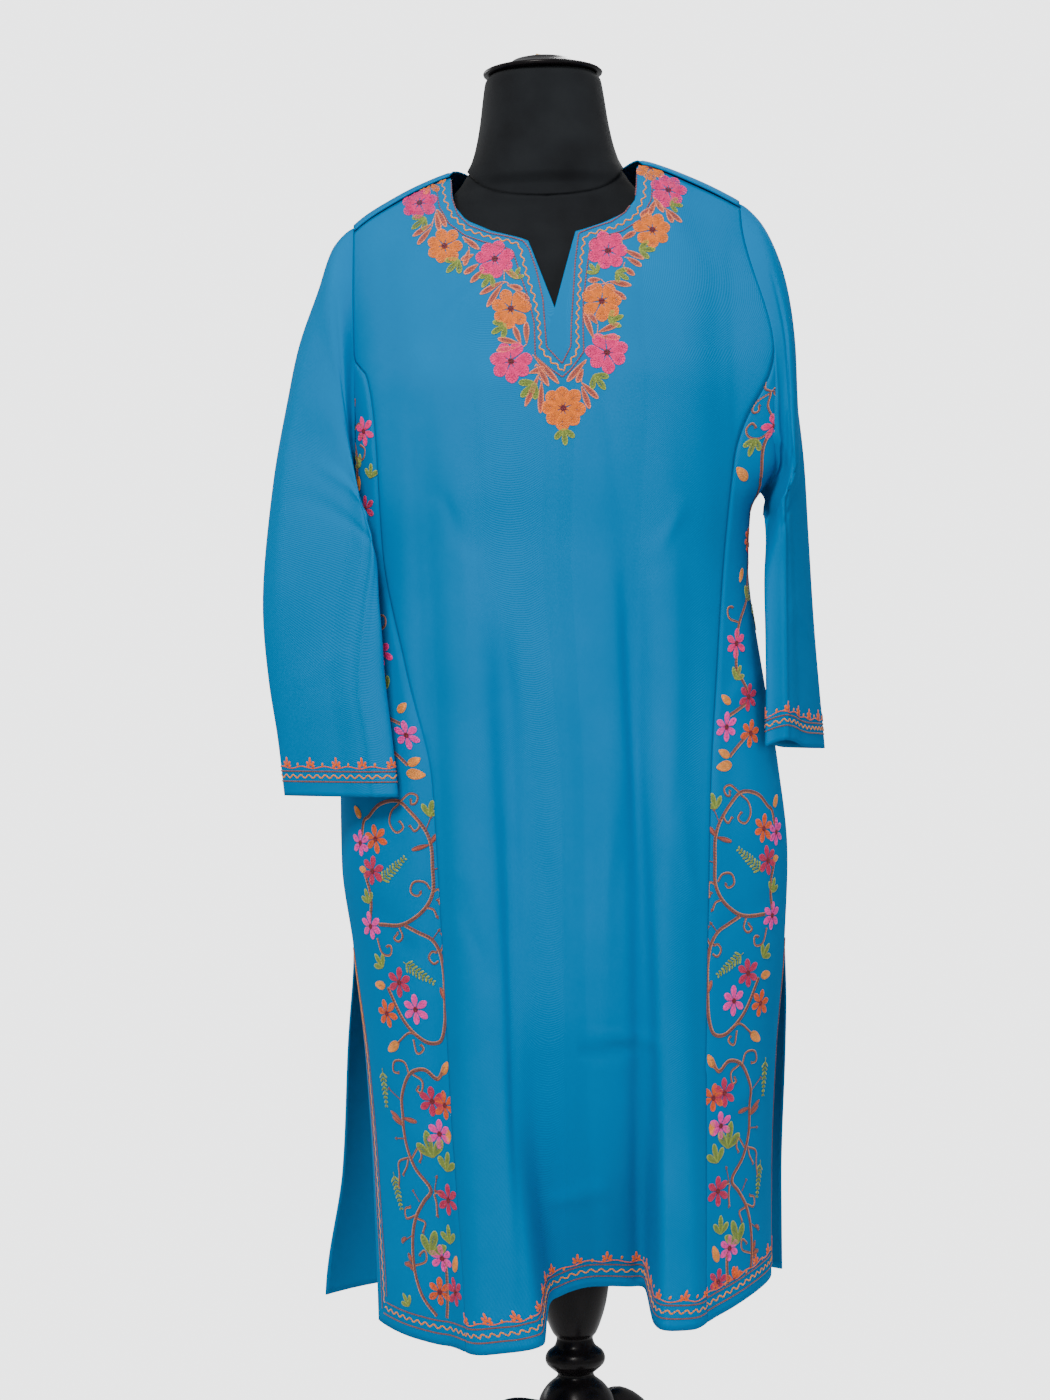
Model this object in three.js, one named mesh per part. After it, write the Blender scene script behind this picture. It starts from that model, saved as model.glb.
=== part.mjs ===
import * as THREE from 'three';
import { mergeVertices } from 'three/addons/utils/BufferGeometryUtils.js';

// A pheran hung on a dress form with a turned stand. Millimetres, +Z up, front to -Y.
// The pole's axis is x = 0, y = 0 until the whole is centred at the end.

// Cloth and clearances
const clothThickness = 1.5;
const seamGap = 0.4;
const armholeGap = 0.35;
const roundness = 0.85;

// Heights of the garment's turning points
const underarmHeight = 1066;
const armholeWidest = 1150;
const hemLevel = 330;
const slitTop = 663;
const seamStart = 1185;
const shoulderRound = { neck: 45, tip: 100, start: 85, run: 65 };
const seamBelowCrest = 7.5;
const lipBelowCrest = 7.5;
const ridgeLift = 2.5;
const ridgeLean = 0.4;
const armholeReach = 174;

// Grid sizes: columns across a piece and rows down it
const frontGrid = { across: 42, above: 6 };
const backGrid = { across: 24, above: 6 };
const goreAcross = 7;
const upperLevels = [1200, 1160, 1130, 1104, 1082, underarmHeight];
const yokeHeight = upperLevels[0];
const rowsBelow = 22;
const sleeveGrid = { around: 22, along: 16 };
const fineSteps = { panel: 360, gore: 120 };
const levelsPerMillimetre = 4;

// Half widths and depths of the garment at each height, front half and back half
const bodyRows = [
  { z: 1380, left: 190, right: 194, front: 48, leftBack: 190, rightBack: 194, back: 48 },
  { z: 1345, left: 190, right: 194, front: 58, leftBack: 190, rightBack: 194, back: 67 },
  { z: 1300, left: 190, right: 194, front: 74, leftBack: 190, rightBack: 194, back: 84 },
  { z: 1250, left: 190, right: 194, front: 92, leftBack: 190, rightBack: 194, back: 97 },
  { z: 1200, left: 188, right: 192, front: 108, leftBack: 188, rightBack: 192, back: 103 },
  { z: 1150, left: 186, right: 188, front: 119, leftBack: 186, rightBack: 188, back: 107 },
  { z: 1066, left: 182, right: 178, front: 121, leftBack: 182, rightBack: 178, back: 107 },
  { z: 1000, left: 181, right: 173, front: 118, leftBack: 181, rightBack: 173, back: 106 },
  { z: 900, left: 190, right: 184, front: 119, leftBack: 190, rightBack: 184, back: 111 },
  { z: 820, left: 198, right: 195, front: 122, leftBack: 198, rightBack: 195, back: 120 },
  { z: 740, left: 199, right: 202, front: 125, leftBack: 199, rightBack: 202, back: 130 },
  { z: 663, left: 190, right: 198, front: 127, leftBack: 191, rightBack: 199, back: 142 },
  { z: 560, left: 182, right: 187, front: 129, leftBack: 205, rightBack: 205, back: 156 },
  { z: 450, left: 179, right: 180, front: 131, leftBack: 222, rightBack: 210, back: 168 },
  { z: 320, left: 180, right: 178, front: 133, leftBack: 255, rightBack: 225, back: 180 },
];

// Distance of the front and back panels' long seams from the middle
const seamRows = [
  { z: 1170, left: 171, right: 173, leftBack: 171, rightBack: 173 },
  { z: 1120, left: 162, right: 164, leftBack: 163, rightBack: 165 },
  { z: 1015, left: 148, right: 150, leftBack: 150, rightBack: 150 },
  { z: 910, left: 130, right: 139, leftBack: 146, rightBack: 146 },
  { z: 806, left: 113, right: 130, leftBack: 142, rightBack: 142 },
  { z: 551, left: 105, right: 119, leftBack: 134, rightBack: 132 },
  { z: 320, left: 96, right: 114, leftBack: 128, rightBack: 124 },
];

// Degrees by which each slit edge stands past the side line, towards the back
const slitRows = [
  { z: 663, frontLeft: 0, frontRight: 0, backLeft: 1, backRight: 1 },
  { z: 560, frontLeft: -6, frontRight: 2, backLeft: 12, backRight: 13 },
  { z: 450, frontLeft: -11, frontRight: 4, backLeft: 20, backRight: 22 },
  { z: 320, frontLeft: -16, frontRight: 6, backLeft: 27, backRight: 31 },
];

// Height of the shoulder ridge across the garment
const crestRows = [
  { x: -200, z: 1284 },
  { x: -184, z: 1300 },
  { x: -163, z: 1318 },
  { x: -139, z: 1332 },
  { x: -114, z: 1344 },
  { x: -90, z: 1353 },
  { x: -60, z: 1361 },
  { x: 60, z: 1364 },
  { x: 90, z: 1360 },
  { x: 106, z: 1355 },
  { x: 130, z: 1345 },
  { x: 159, z: 1331 },
  { x: 179, z: 1319 },
  { x: 192, z: 1305 },
  { x: 204, z: 1288 },
];

// Front neckline and its slit, from the left shoulder seam to the right one
const neckRows = [
  { share: 0.285, x: -85, z: 1348 },
  { share: 0.3, x: -84.2, z: 1339 },
  { share: 0.32, x: -83.4, z: 1329 },
  { share: 0.345, x: -81.5, z: 1316 },
  { share: 0.375, x: -71, z: 1302 },
  { share: 0.41, x: -49, z: 1291 },
  { share: 0.445, x: -24, z: 1284 },
  { share: 0.463, x: -17, z: 1281 },
  { share: 0.5, x: 4, z: 1219 },
  { share: 0.537, x: 24, z: 1289 },
  { share: 0.56, x: 32, z: 1291 },
  { share: 0.59, x: 50, z: 1297 },
  { share: 0.62, x: 67, z: 1305 },
  { share: 0.65, x: 77.5, z: 1317 },
  { share: 0.68, x: 79.4, z: 1331 },
  { share: 0.7, x: 80.4, z: 1342 },
  { share: 0.715, x: 81.2, z: 1353 },
];

// Back neckline: height at the middle and half width
const backNeckHeight = 1338;
const backNeckHalf = 86;

// Folds of the front, from a height down: place, half width, lift and steepness there and at the hem
const frontFolds = [
  { from: 1180, x: [-118, -104], half: [15, 11], lift: [-5, -9], edge: [3, 3] },
  { from: 1060, x: [-84, -64], half: [20, 40], lift: [3, 33], edge: [3, 6] },
  { from: 960, x: [-50, -40], half: [14, 10], lift: [-4, -2], edge: [3, 3] },
  { from: 640, x: [8, 21], half: [62, 43], lift: [0, -82], edge: [4, 26] },
  { from: 1020, x: [66, 62], half: [13, 9], lift: [-6, -6], edge: [3, 3] },
  { from: 1060, x: [94, 89], half: [17, 24], lift: [4, 18], edge: [3, 5] },
  { from: 1290, x: [-140, -150], half: [16, 20], lift: [-4, 0], edge: [2, 2] },
  { from: 1290, x: [147, 150], half: [16, 20], lift: [-5, 0], edge: [2, 2] },
];

// Folds of the back, guessed as softer waves of the same cloth
const backFolds = [
  { from: 1080, x: [-100, -104], half: [24, 26], lift: [4, 20], edge: [3, 3] },
  { from: 1020, x: [-54, -56], half: [20, 24], lift: [-5, -20], edge: [3, 3] },
  { from: 1160, x: [-4, 4], half: [26, 32], lift: [3, 16], edge: [3, 3] },
  { from: 1020, x: [52, 62], half: [20, 22], lift: [-5, -18], edge: [3, 3] },
  { from: 1080, x: [98, 104], half: [24, 22], lift: [4, 14], edge: [3, 3] },
];

// Height of the hem across the front
const hemRows = [
  { x: -190, z: 337 },
  { x: -172, z: 334 },
  { x: -140, z: 328 },
  { x: -110, z: 325 },
  { x: -90, z: 325 },
  { x: -60, z: 328 },
  { x: -27, z: 332 },
  { x: -20, z: 353 },
  { x: 20, z: 363 },
  { x: 60, z: 360 },
  { x: 66, z: 340 },
  { x: 100, z: 338 },
  { x: 124, z: 344 },
  { x: 190, z: 363 },
];
const backHemLeft = 330;
const backHemRight = 342;
const backHemReach = 220;

// Folds start over this drop and deepen late; they fade out towards the sides
const foldStart = 90;
const foldDeepening = 1.7;
const sideFade = 3;

// Sleeves: outer edge, inner edge, half thickness, the way the flat face turns,
// and how far its front is pushed in over the body
const sleeveRows = {
  left: [
    { outer: [-191, -2, 1293], inner: [-187, -6, 1057], half: 50, turn: 2, push: [11, -8] },
    { outer: [-206, -5, 1252], inner: [-192, -20, 1046], half: 43, turn: 8, push: [24, -12] },
    { outer: [-222, -10, 1206], inner: [-190, -42, 1034], half: 35, turn: 15, push: [34, -12] },
    { outer: [-234, -16, 1153], inner: [-183, -64, 1022], half: 27, turn: 22, push: [37, -8] },
    { outer: [-248, -26, 1082], inner: [-171, -82, 1000], half: 20, turn: 28, push: [34, -5] },
    { outer: [-260, -36, 977], inner: [-157, -95, 955], half: 15, turn: 30, push: [14, -2] },
    { outer: [-257, -41, 905], inner: [-151, -100, 896], half: 13, turn: 30, push: [0, 0] },
    { outer: [-250, -44, 850], inner: [-146, -103, 846], half: 12, turn: 30, push: [0, 0] },
    { outer: [-245, -46, 801], inner: [-142, -105, 799], half: 12, turn: 30, push: [0, 0] },
  ],
  right: [
    { outer: [192, 0, 1305], inner: [187, -3, 1058], half: 50, turn: 2, push: [0, 0] },
    { outer: [204, 2, 1276], inner: [192, -9, 1048], half: 45, turn: 8, push: [-2, -3] },
    { outer: [211, 6, 1228], inner: [194, -18, 1040], half: 38, turn: 16, push: [-4, -5] },
    { outer: [215, 12, 1166], inner: [192, -28, 1030], half: 28, turn: 26, push: [-5, -8] },
    { outer: [223, 20, 1098], inner: [190, -38, 1012], half: 19, turn: 40, push: [-4, -8] },
    { outer: [228, 28, 1020], inner: [186, -46, 984], half: 14, turn: 54, push: [-1, -3] },
    { outer: [232, 32, 945], inner: [184, -58, 928], half: 12, turn: 60, push: [0, 0] },
    { outer: [236, 33, 880], inner: [182, -67, 874], half: 12, turn: 60, push: [0, 0] },
    { outer: [239, 33, 829], inner: [180, -71, 834], half: 13, turn: 60, push: [0, 0] },
  ],
};

// A sleeve's section goes from round at the armhole to flat and pressed below the elbow
const roundHalf = 50;
const flatHalf = 12;
const sectionPower = 0.9;
const backFlattening = 0.4;
const pressLine = -0.72;
const pressWidth = 0.5;
const pressHeight = 0.45;
const pushTurn = (120 * Math.PI) / 180;
const pushSpread = 1.3;

// Dress form: half width, front and back depth at each height
const formRows = [
  { z: 640, half: 120, front: 84, back: 84 },
  { z: 646, half: 138, front: 98, back: 98 },
  { z: 662, half: 148, front: 104, back: 106 },
  { z: 740, half: 158, front: 106, back: 112 },
  { z: 830, half: 160, front: 104, back: 106 },
  { z: 920, half: 146, front: 98, back: 94 },
  { z: 1000, half: 132, front: 98, back: 86 },
  { z: 1080, half: 138, front: 104, back: 90 },
  { z: 1150, half: 147, front: 107, back: 93 },
  { z: 1200, half: 154, front: 97, back: 91 },
  { z: 1250, half: 158, front: 81, back: 79 },
  { z: 1285, half: 152, front: 69, back: 66 },
  { z: 1305, half: 136, front: 58, back: 54 },
  { z: 1322, half: 108, front: 52, back: 48 },
  { z: 1336, half: 83, front: 51, back: 47 },
  { z: 1348, half: 73, front: 56, back: 50 },
  { z: 1366, half: 64, front: 57, back: 54 },
  { z: 1395, half: 58, front: 55, back: 52 },
  { z: 1425, half: 54, front: 52, back: 50 },
  { z: 1436, half: 52, front: 50, back: 48 },
  { z: 1441, half: 48, front: 46, back: 44 },
];
const formSides = 24;
const formRowsDown = 26;
const formPower = 0.92;
const endCrowding = 0.35;

// Turned parts: radius and height pairs, from the axis and back to it
const capProfile = [
  [0, 1441.4], [49, 1441.4], [52.6, 1442], [54, 1443.6], [53.4, 1445.6], [50, 1446.8],
  [42, 1448.4], [34, 1451], [28, 1454.6], [24.5, 1456], [0, 1456.4],
];
const poleProfile = [
  [0, 232], [31, 232], [34, 240], [33, 251], [26, 262], [17, 270], [16.5, 273], [21, 277],
  [26, 282], [27, 287], [25, 292], [19, 297], [17, 301], [16.5, 305], [20, 310], [27, 328],
  [31, 345], [33, 365], [32, 400], [27, 450], [20, 500], [17, 540], [17, 639.4], [0, 639.4],
];
const turnedSides = 24;

// Curved legs: distance from the axis, height, half height and half width
const legRows = [
  { reach: 34.6, z: 233, tall: 15, wide: 12 },
  { reach: 60, z: 234, tall: 15, wide: 12 },
  { reach: 98, z: 210, tall: 14, wide: 12 },
  { reach: 134, z: 158, tall: 12, wide: 11 },
  { reach: 164, z: 96, tall: 10, wide: 10 },
  { reach: 196, z: 43, tall: 10, wide: 11 },
  { reach: 222, z: 14, tall: 13, wide: 14 },
  { reach: 226, z: 0, tall: 15, wide: 15 },
];
const legTurns = { leg_right: 50, leg_left: 170, leg_front: 290 };
const legSides = 10;
const legSteps = 14;

const clothColour = '#0b7fb0';
const blackCloth = '#1d1f22';
const blackWood = '#0c0c0d';

// Smooth value of one column of a table, read at a place along another column
function readTable(rows, key, at, column) {
  const rising = rows[rows.length - 1][key] > rows[0][key];
  const place = (row) => (rising ? row[key] : -row[key]);
  const target = rising ? at : -at;
  if (target <= place(rows[0])) return rows[0][column];
  const last = rows.length - 1;
  if (target >= place(rows[last])) return rows[last][column];
  let i = 0;
  while (place(rows[i + 1]) < target) i += 1;
  const before = rows[Math.max(i - 1, 0)];
  const after = rows[Math.min(i + 2, last)];
  const step = place(rows[i + 1]) - place(rows[i]);
  const share = (target - place(rows[i])) / step;
  const from = rows[i][column];
  const to = rows[i + 1][column];
  const slopeFrom = slope(before, rows[i], rows[i + 1], place, column) * step;
  const slopeTo = slope(rows[i], rows[i + 1], after, place, column) * step;
  const s2 = share * share;
  const s3 = s2 * share;
  return (
    from * (2 * s3 - 3 * s2 + 1) + to * (3 * s2 - 2 * s3)
    + slopeFrom * (s3 - 2 * s2 + share) + slopeTo * (s3 - s2)
  );
}

// Slope of a column at the middle of three rows, held flat at a peak
function slope(before, middle, after, place, column) {
  const stepIn = place(middle) - place(before);
  const stepOut = place(after) - place(middle);
  if (stepIn === 0 || stepOut === 0) return 0;
  const rateIn = (middle[column] - before[column]) / stepIn;
  const rateOut = (after[column] - middle[column]) / stepOut;
  if (rateIn * rateOut <= 0) return 0;
  return (2 * rateIn * rateOut) / (rateIn + rateOut);
}

const mix = (from, to, share) => from + (to - from) * share;
const clamp = (value, low, high) => Math.min(Math.max(value, low), high);
const smooth = (share) => share * share * (3 - 2 * share);
const radians = (degrees) => (degrees * Math.PI) / 180;

// Rise of a fold: flat topped, with sides as steep as its edge value
function foldLift(fold, x, z) {
  const share = clamp((fold.from - z) / (fold.from - hemLevel), 0, 1);
  const start = clamp((fold.from - z) / foldStart, 0, 1);
  const centre = mix(fold.x[0], fold.x[1], share);
  const half = mix(fold.half[0], fold.half[1], share);
  const lift = smooth(start) * mix(fold.lift[0], fold.lift[1], Math.pow(share, foldDeepening));
  const away = Math.abs((x - centre) / half);
  return lift / (1 + Math.pow(away, mix(fold.edge[0], fold.edge[1], share)));
}

const crest = (x) => readTable(crestRows, 'x', x, 'z');

// Drop over which the shoulder rounds off, longer towards the sleeve
function roundingAt(x) {
  const share = clamp((Math.abs(x) - shoulderRound.start) / shoulderRound.run, 0, 1);
  return mix(shoulderRound.neck, shoulderRound.tip, smooth(share));
}

// Share of its full depth that the cloth has reached at a height below the ridge
function shoulderShare(x, z) {
  const drop = clamp((crest(x) - z) / roundingAt(x), 0, 1);
  return Math.sqrt(1 - (1 - drop) * (1 - drop));
}

function halfWidth(x, z, isFront) {
  const side = x < 0 ? 'left' : 'right';
  return readTable(bodyRows, 'z', z, isFront ? side : `${side}Back`);
}

// Depth of the cloth in front of or behind the middle, without the shoulder's rounding
function bodyDepth(x, z, isFront) {
  const depth = readTable(bodyRows, 'z', z, isFront ? 'front' : 'back');
  const across = clamp(Math.abs(x) / halfWidth(x, z, isFront), 0, 1);
  const bulge = Math.pow(1 - Math.pow(across, 2 / roundness), roundness / 2);
  const folds = isFront ? frontFolds : backFolds;
  return depth * bulge + folds.reduce((sum, fold) => sum + foldLift(fold, x, z), 0);
}

// Point of the upper body: at a height, rounded over to the shoulder's ridge
function upperPoint(x, z, isFront) {
  const depth = bodyDepth(x, z, isFront) * shoulderShare(x, z);
  return new THREE.Vector3(x, isFront ? -depth : depth, z);
}

// Angle round the body, from the side line towards the middle, of a distance across
function angleOf(across, z, side, isFront) {
  const width = halfWidth(side, z, isFront);
  return Math.asin(Math.pow(clamp(across / width, 0, 1), 1 / roundness));
}

// Point of the body at an angle from the front middle line (0) or the back one
function ringPoint(angle, side, z, isFront) {
  const width = halfWidth(side, z, isFront);
  const sine = Math.sin(angle);
  const cosine = Math.cos(angle);
  const x = side * width * Math.pow(Math.abs(sine), roundness) * Math.sign(sine);
  const depth = readTable(bodyRows, 'z', z, isFront ? 'front' : 'back');
  const reach = depth * Math.pow(Math.abs(cosine), roundness) * Math.sign(cosine);
  const folds = isFront ? frontFolds : backFolds;
  const share = clamp(cosine * sideFade, 0, 1);
  const lift = share * folds.reduce((sum, fold) => sum + foldLift(fold, x, z), 0);
  const y = isFront ? -(reach + lift) : reach + lift;
  return new THREE.Vector3(x, y, z);
}

// Angle of the armhole's edge at a height
function armholeAngle(z, side, isFront) {
  if (z >= armholeWidest) return angleOf(armholeReach, z, side, isFront);
  const widest = angleOf(armholeReach, armholeWidest, side, isFront);
  const share = clamp((armholeWidest - z) / (armholeWidest - underarmHeight), 0, 1);
  return Math.PI / 2 - (Math.PI / 2 - widest) * Math.sqrt(1 - share * share);
}

const sideName = (side) => (side < 0 ? 'left' : 'right');

// Angle of the outer edge of a gore: armhole, side seam or slit
function outerAngle(z, side, isFront) {
  if (z > underarmHeight) return armholeAngle(z, side, isFront);
  if (z > slitTop) return Math.PI / 2;
  const name = `${isFront ? 'front' : 'back'}${side < 0 ? 'Left' : 'Right'}`;
  const past = radians(readTable(slitRows, 'z', z, name));
  return Math.PI / 2 + (isFront ? past : -past);
}

function seamAngle(z, side, isFront) {
  const column = isFront ? sideName(side) : `${sideName(side)}Back`;
  return angleOf(readTable(seamRows, 'z', z, column), z, side, isFront);
}

// Edge of the front or back panel: armhole above, long seam below
function panelAngle(z, side, isFront) {
  if (z > seamStart) return armholeAngle(z, side, isFront);
  return seamAngle(z, side, isFront);
}

// Evenly spaced points along a line of points, kept a little clear of its two ends
function spread(points, count, gapStart, gapEnd) {
  const lengths = [0];
  for (let i = 1; i < points.length; i += 1) {
    lengths.push(lengths[i - 1] + points[i].distanceTo(points[i - 1]));
  }
  const total = lengths[lengths.length - 1];
  const result = [];
  let i = 1;
  for (let step = 0; step <= count; step += 1) {
    const target = mix(gapStart, total - gapEnd, step / count);
    while (i < points.length - 1 && lengths[i] < target) i += 1;
    const share = (target - lengths[i - 1]) / (lengths[i] - lengths[i - 1]);
    result.push(points[i - 1].clone().lerp(points[i], share));
  }
  return result;
}

// Row of panel points at one height, from left to right on the front
function panelRow(z, across, isFront) {
  const fine = fineSteps.panel;
  const points = [];
  const left = -panelAngle(z, -1, isFront);
  const right = panelAngle(z, 1, isFront);
  for (let i = 0; i <= fine; i += 1) {
    const angle = mix(left, right, i / fine);
    points.push(ringPoint(Math.abs(angle), angle < 0 ? -1 : 1, z, isFront));
  }
  return spread(points, across, seamGap / 2, seamGap / 2);
}

// Row of gore points at one height, from the long seam out to the side
function goreRow(z, across, side, isFront) {
  const fine = fineSteps.gore;
  const points = [];
  const inner = seamAngle(z, side, isFront);
  const outer = Math.max(outerAngle(z, side, isFront), inner + 0.01);
  for (let i = 0; i <= fine; i += 1) {
    points.push(ringPoint(mix(inner, outer, i / fine), side, z, isFront));
  }
  return spread(points, across, seamGap / 2, seamGap / 2);
}

// Height of the hem below a place across the body
function hemHeight(x, isFront) {
  if (isFront) return readTable(hemRows, 'x', x, 'z');
  return mix(backHemLeft, backHemRight, clamp((x / backHemReach + 1) / 2, 0, 1));
}

// Start of a front column: on the shoulder seam or round the neckline
function frontStart(share) {
  const first = neckRows[0];
  const last = neckRows[neckRows.length - 1];
  const tipLeft = -armholeReach + seamGap;
  const tipRight = armholeReach - seamGap;
  if (share <= first.share) {
    const x = mix(tipLeft, first.x, share / first.share);
    return { x, z: crest(x) - seamBelowCrest };
  }
  if (share >= last.share) {
    const x = mix(last.x, tipRight, (share - last.share) / (1 - last.share));
    return { x, z: crest(x) - seamBelowCrest };
  }
  let i = 0;
  while (neckRows[i + 1].share < share) i += 1;
  const part = (share - neckRows[i].share) / (neckRows[i + 1].share - neckRows[i].share);
  const x = mix(neckRows[i].x, neckRows[i + 1].x, part);
  return { x, z: mix(neckRows[i].z, neckRows[i + 1].z, part) };
}

// Front panel's columns gather round the neckline, so its rows are spread by share
function frontGridPoints() {
  const { across, above } = frontGrid;
  const yoke = panelRow(yokeHeight, across, true);
  const grid = [];
  for (let i = 0; i < above; i += 1) {
    const share = i / above;
    grid.push(yoke.map((end, column) => {
      const start = frontStart(column / across);
      const x = mix(start.x, end.x, smooth(share));
      const z = mix(start.z, end.z, share);
      return upperPoint(x, z, true);
    }));
  }
  addLowerRows(grid, (z) => panelRow(z, across, true), 0, true);
  return grid;
}

// Height of a row: close together beside the armhole, then even down to the hem
function levelAt(row, hem) {
  const last = upperLevels.length - 1;
  if (row <= last) return upperLevels[row];
  return mix(upperLevels[last], hem, (row - last) / (rowsBelow - last));
}

// Rows from the yoke's level down to the hem, each column ending at its own hem height
function addLowerRows(grid, rowAt, firstRow, isFront) {
  const cache = new Map();
  const rowPoint = (z, column) => {
    const key = Math.round(z * levelsPerMillimetre);
    if (!cache.has(key)) cache.set(key, rowAt(key / levelsPerMillimetre));
    return cache.get(key)[column];
  };
  const ends = rowAt(hemLevel).map((point) => hemHeight(point.x, isFront));
  for (let i = firstRow; i <= rowsBelow; i += 1) {
    grid.push(ends.map((hem, column) => {
      const z = levelAt(i, hem);
      const point = rowPoint(z, column).clone();
      point.z = z;
      return point;
    }));
  }
}

// Back panel runs from the front shoulder seam over the ridge and down the back
function backGridPoints() {
  const { across, above } = backGrid;
  const yoke = panelRow(yokeHeight, across, false);
  const grid = [];
  for (let i = 0; i < above; i += 1) {
    const share = i / above;
    grid.push(yoke.map((end, column) => {
      const place = mix(-1, 1, column / across);
      const startX = place * (armholeReach - seamGap);
      const aside = Math.min(Math.abs(startX) / backNeckHalf, 1);
      const onShoulder = 1 - Math.sqrt(1 - aside * aside);
      const x = mix(startX, end.x, smooth(share));
      const round = roundingAt(x);
      const dip = clamp(crest(x) - backNeckHeight, 0, round);
      const neckAngle = Math.acos(1 - dip / round);
      const frontAngle = -Math.acos(1 - lipBelowCrest / round);
      const first = mix(neckAngle, frontAngle, onShoulder);
      const last = Math.acos(clamp(1 - (crest(x) - yokeHeight) / round, 0, 1));
      const angle = mix(first, last, share);
      const level = crest(x) - round * (1 - Math.cos(angle));
      const z = mix(level, end.z, clamp(share * 2 - 1, 0, 1) ** 2);
      const depth = bodyDepth(x, z, angle < 0) * Math.sin(angle);
      const lift = ridgeLift * onShoulder * (1 - share);
      return new THREE.Vector3(x, depth - lift * ridgeLean, z + lift);
    }));
  }
  addLowerRows(grid, (z) => panelRow(z, across, false), 0, false);
  return grid.map((row) => row.reverse());
}

// Gore between a panel's long seam and the side seam, open below as one side of the slit
function goreGridPoints(side, isFront) {
  const grid = [];
  addLowerRows(grid, (z) => goreRow(z, goreAcross, side, isFront), 1, isFront);
  const turned = (side < 0) === isFront;
  return turned ? grid.map((row) => row.reverse()) : grid;
}

// Sleeve section: a flattened tube with one pressed line near its inner edge
function sleeveSection(row, side, turn) {
  const outer = new THREE.Vector3(...row.outer);
  const inner = new THREE.Vector3(...row.inner);
  const centre = outer.clone().add(inner).multiplyScalar(0.5);
  const reach = outer.clone().sub(inner).multiplyScalar(0.5);
  const yaw = radians(row.turn);
  const forward = new THREE.Vector3(side * Math.sin(yaw), -Math.cos(yaw), 0);
  const along = Math.cos(turn);
  const facing = Math.sin(turn);
  const round = Math.sign(facing) * Math.pow(Math.abs(facing), sectionPower);
  const press = clamp((roundHalf - row.half) / (roundHalf - flatHalf), 0, 1);
  const ridge = facing > 0 ? Math.max(0, 1 - Math.abs(along - pressLine) / pressWidth) : 0;
  const flatBack = facing < 0 ? 1 - backFlattening * press : 1;
  const thick = row.half * (round * flatBack + press * pressHeight * ridge * facing);
  const pushed = Math.max(0, Math.cos((turn - pushTurn) * pushSpread));
  centre.x += row.push[0] * pushed;
  centre.y += row.push[1] * pushed;
  return centre.add(reach.multiplyScalar(along)).add(forward.multiplyScalar(thick));
}

// Armhole edge as the first section of the sleeve, a seam's gap outside the body
function armholePoint(side, turn) {
  const top = crest(side * armholeReach) - 1;
  const middle = (top + underarmHeight) / 2;
  const z = middle + (top - middle) * Math.cos(turn);
  const isFront = Math.sin(turn) >= 0;
  const angle = armholeAngle(z, side, isFront);
  const flat = ringPoint(angle, side, z, isFront);
  const depth = flat.y * shoulderShare(flat.x, z);
  return new THREE.Vector3(flat.x + side * armholeGap, depth, z);
}

// Sleeve grid: one spline down the sleeve for each place round it
function sleeveGridPoints(side) {
  const { around, along } = sleeveGrid;
  const rows = sleeveRows[sideName(side)];
  const lines = [];
  for (let j = 0; j < around; j += 1) {
    const turn = (j / around) * Math.PI * 2;
    const points = [armholePoint(side, turn)];
    rows.forEach((row) => points.push(sleeveSection(row, side, turn)));
    lines.push(new THREE.CatmullRomCurve3(points, false, 'centripetal'));
  }
  const grid = [];
  for (let i = 0; i <= along; i += 1) {
    grid.push(lines.map((line) => line.getPoint(i / along)));
  }
  return side < 0 ? grid : grid.map((row) => row.reverse());
}

// Direction along a line of points at one of them, as true at the ends as inside
function lineDirection(pointAt, index, count, wraps) {
  if (wraps) return pointAt((index + 1) % count).clone().sub(pointAt((index + count - 1) % count));
  if (index > 0 && index < count - 1) return pointAt(index + 1).clone().sub(pointAt(index - 1));
  const step = index === 0 ? 1 : -1;
  const near = pointAt(index + step).clone().multiplyScalar(4);
  near.sub(pointAt(index).clone().multiplyScalar(3)).sub(pointAt(index + 2 * step));
  return near.multiplyScalar(step);
}

// Outward direction at a grid point
function gridNormal(grid, i, j, wraps) {
  const descent = lineDirection((k) => grid[k][j], i, grid.length, false);
  const across = lineDirection((k) => grid[i][k], j, grid[0].length, wraps);
  return descent.cross(across).normalize();
}

// Closed cloth of even thickness on a grid of points
function clothShell(grid, wraps) {
  const rows = grid.length;
  const columns = grid[0].length;
  const positions = [];
  const inside = [];
  for (let i = 0; i < rows; i += 1) {
    for (let j = 0; j < columns; j += 1) {
      const point = grid[i][j];
      const inward = gridNormal(grid, i, j, wraps).multiplyScalar(-clothThickness);
      positions.push(point.x, point.y, point.z);
      inside.push(point.x + inward.x, point.y + inward.y, point.z + inward.z);
    }
  }
  const offset = rows * columns;
  const faces = [];
  const quad = (a, b, c, d) => faces.push(a, b, c, a, c, d);
  const spans = wraps ? columns : columns - 1;
  for (let i = 0; i < rows - 1; i += 1) {
    for (let j = 0; j < spans; j += 1) {
      const next = (j + 1) % columns;
      const a = i * columns + j;
      const b = (i + 1) * columns + j;
      const c = (i + 1) * columns + next;
      const d = i * columns + next;
      quad(a, b, c, d);
      quad(offset + a, offset + d, offset + c, offset + b);
    }
  }
  for (let j = 0; j < spans; j += 1) {
    const next = (j + 1) % columns;
    const low = (rows - 1) * columns;
    quad(j, next, offset + next, offset + j);
    quad(low + next, low + j, offset + low + j, offset + low + next);
  }
  if (!wraps) {
    for (let i = 0; i < rows - 1; i += 1) {
      const here = i * columns;
      const below = (i + 1) * columns;
      const far = columns - 1;
      quad(below, here, offset + here, offset + below);
      quad(here + far, below + far, offset + below + far, offset + here + far);
    }
  }
  return buildGeometry(positions.concat(inside), faces);
}

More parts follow.
